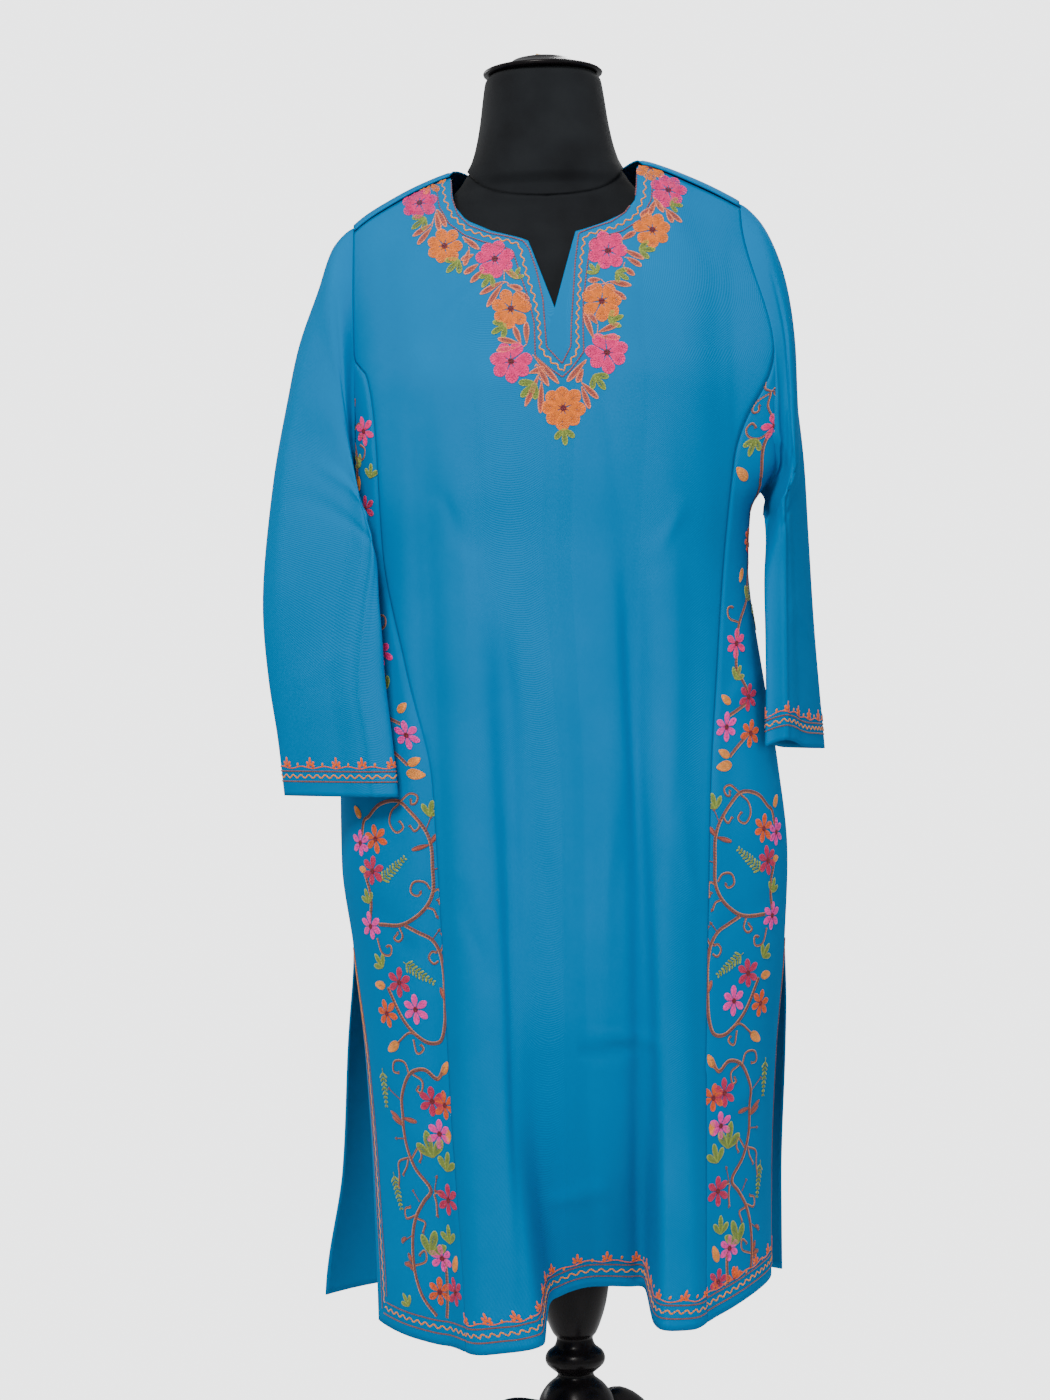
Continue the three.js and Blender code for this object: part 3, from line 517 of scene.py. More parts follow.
# Cloth pieces
clothPieces = {
    "frontPanel": {
        "node": "front_panel", "grid": lambda: frontGrid(132, 36, 150), "isFront": True,
        "seams": ("left", "right"), "flat": (0.414, 1.041), "area": 0.307, "middle": True,
    },
    "backPanel": {
        "node": "back_panel", "grid": lambda: backGrid(96, 30, 132)[:, ::-1], "isFront": False,
        "seams": ("left", "right"), "flat": (0.376, 1.099), "area": 0.337, "middle": True,
    },
    "goreFrontLeft": {
        "node": "gore_front_left", "grid": lambda: goreGrid(34, 140, True, True)[:, ::-1],
        "isFront": True, "seams": ("right",), "flat": (0.155, 0.879), "area": 0.0981,
    },
    "goreFrontRight": {
        "node": "gore_front_right", "grid": lambda: goreGrid(34, 140, False, True),
        "isFront": True, "seams": ("left",), "flat": (0.165, 0.858), "area": 0.0951,
    },
    "goreBackLeft": {
        "node": "gore_back_left", "grid": lambda: goreGrid(30, 132, True, False),
        "isFront": False, "seams": ("left",), "flat": (0.138, 0.892), "area": 0.0874,
    },
    "goreBackRight": {
        "node": "gore_back_right", "grid": lambda: goreGrid(30, 132, False, False)[:, ::-1],
        "isFront": False, "seams": ("right",), "flat": (0.140, 0.887), "area": 0.0807,
    },
    "sleeveLeft": {
        "node": "sleeve_left", "grid": lambda: sleeveGrid(84, 120, True), "wraps": True,
        "seams": (), "flat": (0.321, 0.532), "area": 0.1133,
    },
    "sleeveRight": {
        "node": "sleeve_right", "grid": lambda: sleeveGrid(84, 120, False)[:, ::-1], "wraps": True,
        "seams": (), "flat": (0.263, 0.512), "area": 0.0890,
    },
}
seamGroove = {"depth": 0.9, "width": 2.6, "lap": 2.1, "lapWidth": 4.2}
unevenness = {"lift": 0.7, "size": 55.0, "stretch": 2.4}
# Creases fade out towards the yoke and the armhole, and seam grooves at the top of the gores
creaseFade = {"yokeRise": 90, "yokeRun": 60, "seamRun": 30, "armholeShare": 0.08}
sleeveFlat = {"perDegree": 2.2, "length": 500}

# Creases: ends in x and z, half width and lift, in millimetres; below zero is a trough
creaseNames = "start end half lift"
frontCreases = rowsOf(creaseNames, [
    ((-50, 980), (-41, 360), 8, -4.0), ((65, 1010), (61, 380), 8, -4.0),
    ((-84, 1060), (-68, 560), 14, 2.6), ((95, 1060), (90, 560), 12, 2.6),
    ((-20, 760), (-4, 400), 16, -2.0), ((34, 820), (30, 420), 12, 2.2),
    ((15, 590), (74, 585), 5, 2.0), ((10, 574), (60, 578), 6, -1.8),
    ((118, 560), (140, 575), 6, -1.5), ((-22, 445), (28, 452), 7, 1.6),
    ((-60, 1150), (-40, 900), 9, 1.6), ((40, 1170), (60, 980), 9, -1.4),
    ((-104, 1060), (-70, 1010), 7, -1.4), ((108, 1050), (88, 1000), 7, 1.5),
    ((-20, 1100), (10, 760), 12, 1.2), ((100, 780), (112, 700), 8, 1.4),
    ((-88, 720), (-70, 640), 8, -1.5), ((60, 1240), (110, 1190), 8, -1.3),
    ((-60, 1250), (-112, 1180), 8, -1.5), ((-30, 900), (-6, 600), 11, -1.3),
    ((44, 860), (30, 650), 10, 1.3),
])
backCreases = rowsOf(creaseNames, [
    ((-90, 1250), (-30, 1215), 8, -1.6), ((90, 1252), (34, 1216), 8, -1.6),
    ((-70, 1120), (-40, 880), 10, 1.6), ((60, 1100), (36, 820), 10, 1.4),
    ((-20, 620), (30, 628), 6, 1.6), ((-80, 520), (-30, 500), 7, -1.6),
    ((40, 470), (96, 486), 7, 1.6), ((-140, 760), (-120, 600), 9, 1.3),
    ((130, 760), (116, 590), 9, -1.3), ((0, 1010), (8, 700), 12, 1.2),
])
gorePuckers = rowsOf(creaseNames, [
    ((-150, 1080), (-120, 1010), 6, -1.2), ((-178, 900), (-140, 860), 7, 1.2),
    ((-170, 700), (-124, 660), 8, -1.3), ((-160, 520), (-116, 500), 8, 1.3),
    ((150, 1080), (128, 1010), 6, -1.2), ((176, 900), (146, 870), 7, 1.2),
    ((176, 700), (130, 670), 8, -1.3), ((160, 540), (124, 510), 8, 1.3),
])
# Sleeve creases: turn round the sleeve in degrees and share down it
sleeveCreases = rowsOf(creaseNames, [
    ((133, 0.1), (137, 0.98), 4, 3.0), ((122, 0.12), (127, 0.97), 5, -1.8),
    ((60, 0.2), (130, 0.3), 9, -1.8), ((80, 0.52), (150, 0.48), 6, 1.6),
    ((60, 0.6), (140, 0.57), 6, -1.5), ((210, 0.5), (290, 0.56), 7, 1.6),
    ((230, 0.3), (300, 0.24), 8, -1.8), ((100, 0.1), (160, 0.16), 8, 1.5),
    ((70, 0.8), (120, 0.76), 8, 1.2), ((220, 0.82), (280, 0.78), 8, -1.2),
])


# The right shoulder drops: its armhole is drawn outwards at the front
droppedShoulder = {
    "reach": 24, "top": 1305, "full": 1180, "low": 1088, "end": 1042, "from": 159, "armhole": 174,
    "outer": 222, "back": 22, "front": -12,
}


def dropShoulder(points):
    drop = droppedShoulder
    x, y, z = points[..., 0], points[..., 1], points[..., 2]
    level = smooth(np.clip((drop["top"] - z) / (drop["top"] - drop["full"]), 0, 1))
    level = level * smooth(np.clip((z - drop["end"]) / (drop["low"] - drop["end"]), 0, 1))
    facing = smooth(np.clip((drop["back"] - y) / (drop["back"] - drop["front"]), 0, 1))
    across = np.interp(x, (drop["from"], drop["armhole"], drop["outer"]), (0, 1, 0), left=0)
    across = np.where(x < drop["armhole"], smooth(across), across)
    moved = points.copy()
    moved[..., 0] += drop["reach"] * level * facing * across
    return moved


def creaseLift(creases, first, second):
    # soft trough or ridge along a line, fading at both ends and uneven in width
    total = np.zeros_like(first)
    for crease in creases:
        start = np.array(crease["start"], float)
        run = np.array(crease["end"], float) - start
        length = float(np.hypot(*run))
        along = ((first - start[0]) * run[0] + (second - start[1]) * run[1]) / length ** 2
        side = ((first - start[0]) * run[1] - (second - start[1]) * run[0]) / length
        wander = 0.35 * crease["half"] * np.sin(along * 5 + length)
        half = crease["half"] * (1 + 0.3 * np.sin(along * 7 + start[0]))
        ends = np.clip(1 - ((along - 0.5) / 0.62) ** 4, 0, 1)
        total += crease["lift"] * ends * np.exp(-((side - wander) / half) ** 2)
    return total


def softUneven(points, seed):
    # slow, shallow unevenness of hanging cloth
    size = unevenness["size"]
    result = np.zeros(points.shape[:2])
    for i in range(points.shape[0]):
        for j in range(points.shape[1]):
            x, y, z = points[i, j]
            result[i, j] = noise.noise(
                (x / size + seed, y / size, z / (size * unevenness["stretch"])))
    return result * unevenness["lift"]


# The right cuff's front edge arches up, and its opening shows below
cuffArch = {"lift": 7, "start": 0.88, "front": 1.0}


def rowMiddle(values):
    # middle and half width of every row
    high, low = values.max(1, keepdims=True), values.min(1, keepdims=True)
    return (high + low) / 2, (high - low) / 2


def archCuff(points):
    start = cuffArch["start"]
    shares = np.linspace(0, 1, len(points))[:, None]
    low = smooth(np.clip((shares - start) / (1 - start), 0, 1))
    x, y = points[..., 0], points[..., 1]
    middle, reach = rowMiddle(x)
    depth, half = rowMiddle(y)
    across = np.clip((x - middle) / reach, -1, 1)
    facing = smooth(np.clip((depth - y) / (cuffArch["front"] * half), 0, 1))
    moved = points.copy()
    moved[..., 2] += cuffArch["lift"] * low * (1 - across ** 2) * facing
    return moved


def shapedGrid(name, piece):
    # the piece's surface with its creases, seam grooves and unevenness, in millimetres
    wraps = piece.get("wraps", False)
    points = dropShoulder(piece["grid"]())
    normals = gridNormals(points, wraps)
    rows, columns = points.shape[:2]
    if wraps:
        turns = np.tile(np.linspace(0, 360, columns), (rows, 1))
        if name == "sleeveRight":
            turns = turns[:, ::-1]
        shares = np.tile(np.linspace(0, 1, rows)[:, None], (1, columns))
        wide, long = sleeveFlat["perDegree"], sleeveFlat["length"]
        creases = [dict(c, start=(c["start"][0] * wide, c["start"][1] * long),
                        end=(c["end"][0] * wide, c["end"][1] * long)) for c in sleeveCreases]
        lift = creaseLift(creases, turns * wide, shares * long)
        lift *= np.clip(shares / creaseFade["armholeShare"], 0, 1)
    else:
        if "gore" in name:
            creases = gorePuckers
        else:
            creases = frontCreases if piece["isFront"] else backCreases
        lift = creaseLift(creases, points[..., 0], points[..., 2])
        fadeTop = garment["yoke"] + creaseFade["yokeRise"]
        lift *= np.clip((fadeTop - points[..., 2]) / creaseFade["yokeRun"], 0, 1)
        lengths = rowLengths(points)
        for seam in piece["seams"]:
            away = lengths if seam == "left" else lengths[:, -1:] - lengths
            if "gore" in name:
                lift -= seamGroove["lap"] * np.exp(-(away / seamGroove["lapWidth"]) ** 4)
            else:
                below = (garment["goreTop"] - points[..., 2]) / creaseFade["seamRun"]
                groove = seamGroove["depth"] * np.exp(-(away / seamGroove["width"]) ** 2)
                lift -= np.clip(below, 0, 1) * groove
    uneven = softUneven(points, len(name))
    if wraps:
        uneven[:, -1] = uneven[:, 0]
        lift[:, -1] = lift[:, 0]
    points = points + normals * (lift + uneven)[..., None]
    if name == "sleeveRight":
        points = archCuff(points)
    return points, gridNormals(points, wraps)


def linked(name, data):
    # a new object of the scene
    obj = bpy.data.objects.new(name, data)
    bpy.context.scene.collection.objects.link(obj)
    return obj


def meshObject(name, bm):
    mesh = bpy.data.meshes.new(name)
    bm.to_mesh(mesh)
    bm.free()
    return linked(name, mesh)


def gridMesh(name, points, wraps=False, capped=False):
    # a grid of quads moved onto the points; a wrapped one is welded along its seam
    rows, columns = points.shape[:2]
    bm = bmesh.new()
    bmesh.ops.create_grid(bm, x_segments=columns - 1, y_segments=rows - 1, size=1)
    uvLayer = bm.loops.layers.uv.new("UVMap")
    across = rowLengths(points)
    down = columnLengths(points)
    middle = across[:, -1:] / 2
    for vert in bm.verts:
        j = round((vert.co.x + 1) / 2 * (columns - 1))
        i = round((1 - vert.co.y) / 2 * (rows - 1))
        vert.index = i * columns + j
    flatU = ((across - middle) * 0.001).ravel()
    flatV = (-down * 0.001).ravel()
    for face in bm.faces:
        face.smooth = True
        for loop in face.loops:
            k = loop.vert.index
            loop[uvLayer].uv = (flatU[k], flatV[k])
    world = placed(points).reshape(-1, 3)
    for vert in bm.verts:
        vert.co = world[vert.index]
    if wraps:
        bmesh.ops.remove_doubles(bm, verts=bm.verts[:], dist=1e-6)
    if capped:
        edges = [edge for edge in bm.edges if edge.is_boundary]
        bmesh.ops.holes_fill(bm, edges=edges)
        bmesh.ops.recalc_face_normals(bm, faces=bm.faces[:])
    return meshObject(name, bm)


clothGrids = {}
clothObjects = {}
for name, piece in clothPieces.items():
    points, normals = shapedGrid(name, piece)
    clothGrids[name] = (points, normals)
    obj = gridMesh(name, points, wraps=piece.get("wraps", False))
    thicken = obj.modifiers.new("clothThickness", "SOLIDIFY")
    thicken.thickness = garment["thickness"] * 0.001
    thicken.offset = -1
    thicken.use_even_offset = False
    clothObjects[name] = obj
    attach(obj, "root")
    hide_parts(piece["node"])
print("scene: cloth built")


# Dress form, stand and cap
formRows = rowsOf("z half front back", [
    (640, 120, 84, 84), (646, 138, 98, 98), (662, 148, 104, 106), (740, 158, 106, 112),
    (830, 160, 104, 106), (920, 146, 98, 94), (1000, 132, 98, 86), (1080, 138, 104, 90),
    (1150, 147, 107, 93), (1200, 154, 97, 91), (1250, 158, 81, 79), (1285, 152, 69, 66),
    (1305, 136, 58, 54), (1322, 108, 52, 48), (1336, 83, 51, 47), (1348, 73, 56, 50),
    (1366, 64, 57, 54), (1395, 58, 55, 52), (1425, 54, 52, 50), (1436, 52, 50, 48),
    (1441, 48, 46, 44),
])
formShape = {
    "columns": 128, "rows": 110, "neckRows": 150, "topRows": 24, "neckFrom": 1296, "neckTo": 1386,
    "power": 0.92, "frontSeam": {"depth": 0.7, "width": 1.4},
    "neckSeam": {"front": 1326, "side": 1356, "back": 1362, "lap": 1.3, "sideLap": 2.6,
                 "edge": 0.7, "fade": 24, "groove": 0.8},
}
capProfile = [
    (0, 1441.4), (47, 1441.4), (50.8, 1441.6), (52.6, 1442.2), (53.6, 1443.2), (53.9, 1444.2),
    (53.4, 1445.3), (52, 1446.1), (50, 1446.6), (46, 1447.4), (42, 1448.4), (38, 1449.5),
    (34, 1451), (30.6, 1452.9), (28, 1454.6), (26.6, 1455.5), (24.5, 1456.1), (20, 1456.3),
    (0, 1456.4),
]
poleProfile = [
    (0, 232), (31, 232), (34, 240), (33, 251), (26, 262), (17, 270), (16.5, 273), (21, 277),
    (26, 282), (27, 287), (25, 292), (19, 297), (17, 301), (16.5, 305), (20, 310), (27, 328),
    (31, 345), (33, 365), (32, 400), (27, 450), (20, 500), (17, 540), (17, 639.4), (0, 639.4),
]
legRows = rowsOf("reach z tall wide", [
    (34.6, 233, 15, 12), (60, 234, 15, 12), (98, 210, 14, 12), (134, 158, 12, 11),
    (164, 96, 10, 10), (196, 43, 10, 11), (222, 14, 13, 14), (226, 0, 15, 15),
])
turnedSides = 72
legShape = {"steps": 42, "sides": 24, "scale": 0.97}
legTurns = {"leg_right": 50, "leg_left": 170, "leg_front": 290}


def formPoint(turn, z):
    # turn runs from the right side round the back; the seams lie in the surface
    half = float(readTable(formRows, "z", z, "half"))
    depth = float(readTable(formRows, "z", z, "back" if math.sin(turn) > 0 else "front"))
    power = formShape["power"]
    x = half * math.copysign(abs(math.cos(turn)) ** power, math.cos(turn))
    y = depth * math.copysign(abs(math.sin(turn)) ** power, math.sin(turn))
    seam = formShape["neckSeam"]
    end = seam["front"] if y < 0 else seam["back"]
    level = mix(seam["side"], end, abs(math.sin(turn)) ** 1.6)
    lap = mix(seam["lap"], seam["sideLap"], abs(math.cos(turn)) ** 3)
    above = z - level
    lift = lap * smooth(min(max(above / seam["edge"], 0), 1))
    lift *= math.exp(-max(above, 0) / seam["fade"])
    lift -= seam["groove"] * math.exp(-((above + 1) / 1.3) ** 2)
    if z < level:
        middle = abs(x) if y < 0 else 99
        frontSeam = formShape["frontSeam"]
        lift -= frontSeam["depth"] * math.exp(-(middle / frontSeam["width"]) ** 2)
    length = math.hypot(x, y) or 1
    return x + x / length * lift, y + y / length * lift, z


def formMesh():
    shape = formShape
    heights = np.concatenate([
        np.linspace(formRows[0]["z"], shape["neckFrom"], shape["rows"], endpoint=False),
        np.linspace(shape["neckFrom"], shape["neckTo"], shape["neckRows"], endpoint=False),
        np.linspace(shape["neckTo"], formRows[-1]["z"], shape["topRows"])])[::-1]
    turns = np.linspace(0, -2 * math.pi, formShape["columns"] + 1)[::-1]
    points = [[formPoint(turn, z) for turn in turns] for z in heights]
    return gridMesh("formCover", np.array(points), wraps=True, capped=True)


def turnedMesh(name, profile, softened):
    # a profile of radius and height spun round the pole's axis
    path = np.array([(r, 0.0, z) for r, z in profile])
    if softened:
        inner = throughPoints(path[1:-1][:, None, :], softened)[:, 0]
        path = np.concatenate([path[:1], inner, path[-1:]])
    bm = bmesh.new()
    made = bmesh.ops.create_vert(bm, co=path[0])["vert"]
    last = made[0]
    for point in path[1:]:
        last = bmesh.ops.extrude_vert_indiv(bm, verts=[last])["verts"][0]
        last.co = point
    bmesh.ops.spin(
        bm, geom=bm.verts[:] + bm.edges[:], cent=(0, 0, 0), axis=(0, 0, 1),
        angle=2 * math.pi, steps=turnedSides, use_merge=True)
    bmesh.ops.remove_doubles(bm, verts=bm.verts[:], dist=1e-4)
    bmesh.ops.recalc_face_normals(bm, faces=bm.faces[:])
    return finishedMesh(name, bm)


def finishedMesh(name, bm):
    # from millimetres round the pole's axis to the frame, with smooth faces
    for vert in bm.verts:
        vert.co = Vector(placed(np.array(vert.co)))
    for face in bm.faces:
        face.smooth = True
    return meshObject(name, bm)


def legMesh(name, turnDegrees):
    path = np.array([(row["reach"], 0.0, row["z"]) for row in legRows])
    sizes = np.array([(row["tall"], row["wide"], 0.0) for row in legRows])
    steps, scale = legShape["steps"], legShape["scale"]
    centres = throughPoints(path[:, None, :], steps)[:, 0]
    places = np.linspace(0, len(legRows) - 1, steps + 1)
    tall = np.interp(places, range(len(legRows)), sizes[:, 0])
    wide = np.interp(places, range(len(legRows)), sizes[:, 1])
    tangents = np.gradient(centres, axis=0)
    tangents[0] = (1, 0, 0)
    tangents[-1] = (0, 0, -1)
    turns = np.linspace(0, 2 * math.pi, legShape["sides"] + 1)
    rings = []
    for k, centre in enumerate(centres):
        ahead = tangents[k] / np.linalg.norm(tangents[k])
        upward = np.array([-ahead[2], 0, ahead[0]])
        sideways = np.array([0, 1.0, 0])
        rings.append([centre + upward * math.sin(t) * tall[k] * scale
                      + sideways * math.cos(t) * wide[k] * scale for t in turns])
    points = np.array(rings)
    angle = math.radians(turnDegrees)
    turned = points.copy()
    turned[..., 0] = points[..., 0] * math.cos(angle) - points[..., 1] * math.sin(angle)
    turned[..., 1] = points[..., 0] * math.sin(angle) + points[..., 1] * math.cos(angle)
    return gridMesh(name, turned, wraps=True, capped=True)


formCover = formMesh()
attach(formCover, "root")
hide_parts("dress_form")
neckCap = turnedMesh("neckCap", capProfile, 0)
turnedPole = turnedMesh("turnedPole", poleProfile, 150)
nubShape = {"size": (9, 5, 4.6), "place": (-2, -6, 1457.6), "lean": 12}
nubBm = bmesh.new()
bmesh.ops.create_cube(nubBm, size=1)
bmesh.ops.scale(nubBm, verts=nubBm.verts[:], vec=nubShape["size"])
bmesh.ops.bevel(nubBm, geom=nubBm.edges[:], offset=0.7, segments=3, profile=0.5, affect="EDGES")
bmesh.ops.rotate(nubBm, verts=nubBm.verts[:], cent=(0, 0, 0),
                 matrix=Matrix.Rotation(math.radians(nubShape["lean"]), 3, "Y"))
bmesh.ops.translate(nubBm, verts=nubBm.verts[:], vec=nubShape["place"])
woodNub = finishedMesh("woodNub", nubBm)
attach(woodNub, "root")
standPieces = {"neck_cap": neckCap, "pole": turnedPole}
for node, turn in legTurns.items():
    parts = node.split("_")
    standPieces[node] = legMesh(parts[0] + parts[1].capitalize(), turn)
for node, obj in standPieces.items():
    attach(obj, "root")
    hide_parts(node)
print("scene: stand built")


# Materials
def newMaterial(name):
    material = bpy.data.materials.new(name)
    material.use_nodes = True
    nodes = material.node_tree.nodes
    shader = next(node for node in nodes if node.type == "BSDF_PRINCIPLED")
    return material, nodes, material.node_tree.links, shader


def addNode(nodes, kind, **values):
    node = nodes.new(kind)
    for key, value in values.items():
        if key in node.inputs:
            node.inputs[key].default_value = value
        else:
            setattr(node, key, value)
    return node


def rampOf(nodes, stops):
    ramp = nodes.new("ShaderNodeValToRGB")
    elements = ramp.color_ramp.elements
    while len(elements) < len(stops):
        elements.new(0.5)
    for element, (place, colour) in zip(elements, stops):
        element.position = place
        element.color = (*colour, 1)
    return ramp


def roughen(nodes, links, shader, height, strength, distance):
    # a height socket becomes the surface's fine relief
    bump = addNode(nodes, "ShaderNodeBump", Strength=strength, Distance=distance)
    links.new(height, bump.inputs["Height"])
    links.new(bump.outputs["Normal"], shader.inputs["Normal"])


def colourFrom(nodes, links, shader, source, stops):
    colours = rampOf(nodes, stops)
    links.new(source.outputs["Fac"], colours.inputs["Fac"])
    links.new(colours.outputs["Color"], shader.inputs["Base Color"])


def solidNoise(nodes, links, **values):
    # noise that stays fixed to the object
    place = addNode(nodes, "ShaderNodeTexCoord")
    cloud = addNode(nodes, "ShaderNodeTexNoise", **values)
    links.new(place.outputs["Object"], cloud.inputs["Vector"])
    return cloud


def setSockets(shader, values):
    for name, value in values.items():
        shader.inputs[name].default_value = value


twill = {
    "deep": "0070a8", "middle": "0073ac", "pale": "0076b0", "pitch": 0.0013, "angle": 38,
    "bump": 0.3, "fuzz": 0.16,
}


def woolTwill():
    material, nodes, links, shader = newMaterial("woolTwill")
    uv = addNode(nodes, "ShaderNodeUVMap", uv_map="UVMap")
    turned = addNode(nodes, "ShaderNodeMapping")
    turned.inputs["Rotation"].default_value = (0, 0, math.radians(twill["angle"]))
    links.new(uv.outputs["UV"], turned.inputs["Vector"])
    wale = addNode(nodes, "ShaderNodeTexWave", wave_type="BANDS", bands_direction="X",
                   Scale=math.pi / (10 * twill["pitch"]), Distortion=1.2, Detail=2.0)
    wale.inputs["Detail Scale"].default_value = 1.5
    links.new(turned.outputs["Vector"], wale.inputs["Vector"])
    cloud = solidNoise(nodes, links, Scale=7.0, Detail=5.0, Roughness=0.6)
    fibre = addNode(nodes, "ShaderNodeTexNoise", Scale=1400.0, Detail=3.0, Roughness=0.7)
    links.new(uv.outputs["UV"], fibre.inputs["Vector"])
    colours = rampOf(nodes, [
        (0.3, tone(twill["deep"])), (0.5, tone(twill["middle"])), (0.72, tone(twill["pale"]))])
    links.new(cloud.outputs["Fac"], colours.inputs["Fac"])
    # painted shade: the base colour is multiplied darker along the twill's troughs, on top of the
    # bump that also shades them
    ribs = addNode(nodes, "ShaderNodeMix", data_type="RGBA", blend_type="MULTIPLY")
    ribs.inputs["Factor"].default_value = 0.4
    shade = rampOf(nodes, [(0.1, (0.5, 0.6, 0.68)), (0.8, (1, 1, 1))])
    links.new(wale.outputs["Fac"], shade.inputs["Fac"])
    links.new(colours.outputs["Color"], ribs.inputs["A"])
    links.new(shade.outputs["Color"], ribs.inputs["B"])
    flecks = addNode(nodes, "ShaderNodeMix", data_type="RGBA", blend_type="OVERLAY")
    flecks.inputs["Factor"].default_value = twill["fuzz"]
    links.new(ribs.outputs["Result"], flecks.inputs["A"])
    links.new(fibre.outputs["Fac"], flecks.inputs["B"])
    links.new(flecks.outputs["Result"], shader.inputs["Base Color"])
    height = addNode(nodes, "ShaderNodeMath", operation="MULTIPLY_ADD")
    links.new(wale.outputs["Fac"], height.inputs[0])
    height.inputs[1].default_value = 0.7
    links.new(fibre.outputs["Fac"], height.inputs[2])
    roughen(nodes, links, shader, height.outputs["Value"], twill["bump"], 0.0006)
    setSockets(shader, {
        "Roughness": 0.8, "Specular IOR Level": 0.02, "Sheen Weight": 0.06,
        "Sheen Roughness": 0.5, "Sheen Tint": (*tone("0a9bdc"), 1)})
    return material


def knitCover():
    material, nodes, links, shader = newMaterial("knitCover")
    cloud = solidNoise(nodes, links, Scale=18.0, Detail=4.0)
    colourFrom(nodes, links, shader, cloud, [(0.35, tone("121417")), (0.7, tone("1c1f22"))])
    uv = addNode(nodes, "ShaderNodeUVMap", uv_map="UVMap")
    ribs = addNode(nodes, "ShaderNodeTexWave", wave_type="BANDS", bands_direction="X",
                   Scale=math.pi / (10 * 0.0009), Distortion=2.0, Detail=2.0)
    links.new(uv.outputs["UV"], ribs.inputs["Vector"])
    fine = addNode(nodes, "ShaderNodeTexNoise", Scale=900.0, Detail=3.0)
    links.new(uv.outputs["UV"], fine.inputs["Vector"])
    height = addNode(nodes, "ShaderNodeMath", operation="ADD")
    links.new(ribs.outputs["Fac"], height.inputs[0])
    links.new(fine.outputs["Fac"], height.inputs[1])
    roughen(nodes, links, shader, height.outputs["Value"], 0.3, 0.0004)
    setSockets(shader, {"Roughness": 0.9, "Specular IOR Level": 0.12, "Sheen Weight": 0.04})
    return material


def bareWood():
    material, nodes, links, shader = newMaterial("bareWood")
    grain = solidNoise(nodes, links, Scale=420.0, Detail=5.0)
    colourFrom(nodes, links, shader, grain, [(0.35, tone("a8834c")), (0.7, tone("d9bd86"))])
    roughen(nodes, links, shader, grain.outputs["Fac"], 0.2, 0.0003)
    setSockets(shader, {"Roughness": 0.7})
    return material


def lacqueredWood():
    material, nodes, links, shader = newMaterial("lacqueredWood")
    place = addNode(nodes, "ShaderNodeTexCoord")
    grain = addNode(nodes, "ShaderNodeTexNoise", Scale=30.0, Detail=6.0, Roughness=0.65)
    stretched = addNode(nodes, "ShaderNodeMapping")
    stretched.inputs["Scale"].default_value = (4, 4, 0.6)
    links.new(place.outputs["Object"], stretched.inputs["Vector"])
    links.new(stretched.outputs["Vector"], grain.inputs["Vector"])
    colourFrom(nodes, links, shader, grain, [(0.35, tone("0b0b0c")), (0.75, tone("191517"))])
    gloss = addNode(nodes, "ShaderNodeMapRange")
    gloss.inputs["To Min"].default_value = 0.2
    gloss.inputs["To Max"].default_value = 0.34
    links.new(grain.outputs["Fac"], gloss.inputs["Value"])
    links.new(gloss.outputs["Result"], shader.inputs["Roughness"])
    roughen(nodes, links, shader, grain.outputs["Fac"], 0.06, 0.0006)
    setSockets(shader, {"IOR": 1.22, "Specular IOR Level": 0.5})
    return material


clothMaterial = woolTwill()
coverMaterial = knitCover()
woodMaterial = lacqueredWood()


def wear(obj, material):
    obj.data.materials.clear()
    obj.data.materials.append(material)


for obj in clothObjects.values():
    wear(obj, clothMaterial)
wear(formCover, coverMaterial)
wear(woodNub, bareWood())
for obj in standPieces.values():
    wear(obj, woodMaterial)
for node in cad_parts.values():
    material = woodMaterial
    if node.name.startswith(("front", "back", "gore", "sleeve")):
        material = clothMaterial
    elif node.name == "dress_form":
        material = coverMaterial
    for slot in node.material_slots:
        slot.material = material
print("scene: materials set")


# Embroidery: chain stitches laid on the flat cloth, in millimetres, and then carried to its folds.
# Across is the distance from a gore's front seam, or from the middle of a panel.
# Height is above the floor; on a sleeve the two are the ways round it and up from its cuff.
threadTones = {
    "pink": "f4107c", "rose": "bf084e", "palePink": "f233a6", "orange": "f07a04", "rust": "df5300",
    "heart": "70041c", "green": "758a33", "fern": "92a23e", "stem": "7b4338", "leaf": "b05040",
    "tan": "f08c14", "edge": "7b424b", "bud": "f49a3c", "sprig": "f06208", "stemPale": "bf7850",
    "leafPale": "e8845a",
}
threadLook = {
    "stitch": 2.6, "width": 1.45, "height": 1.0, "sink": 0.2, "sides": 4, "bands": 3,
    "toneSpread": 0.16, "lineWidth": 1.7,
}
petalLook = {
    "inset": 0.5, "step": 1.08, "stitch": 2.5, "shade": 1.04, "shadeStep": 0.05, "dark": 0.72,
    "lighter": 0.36,
}
stitches = {name: [] for name in clothPieces}


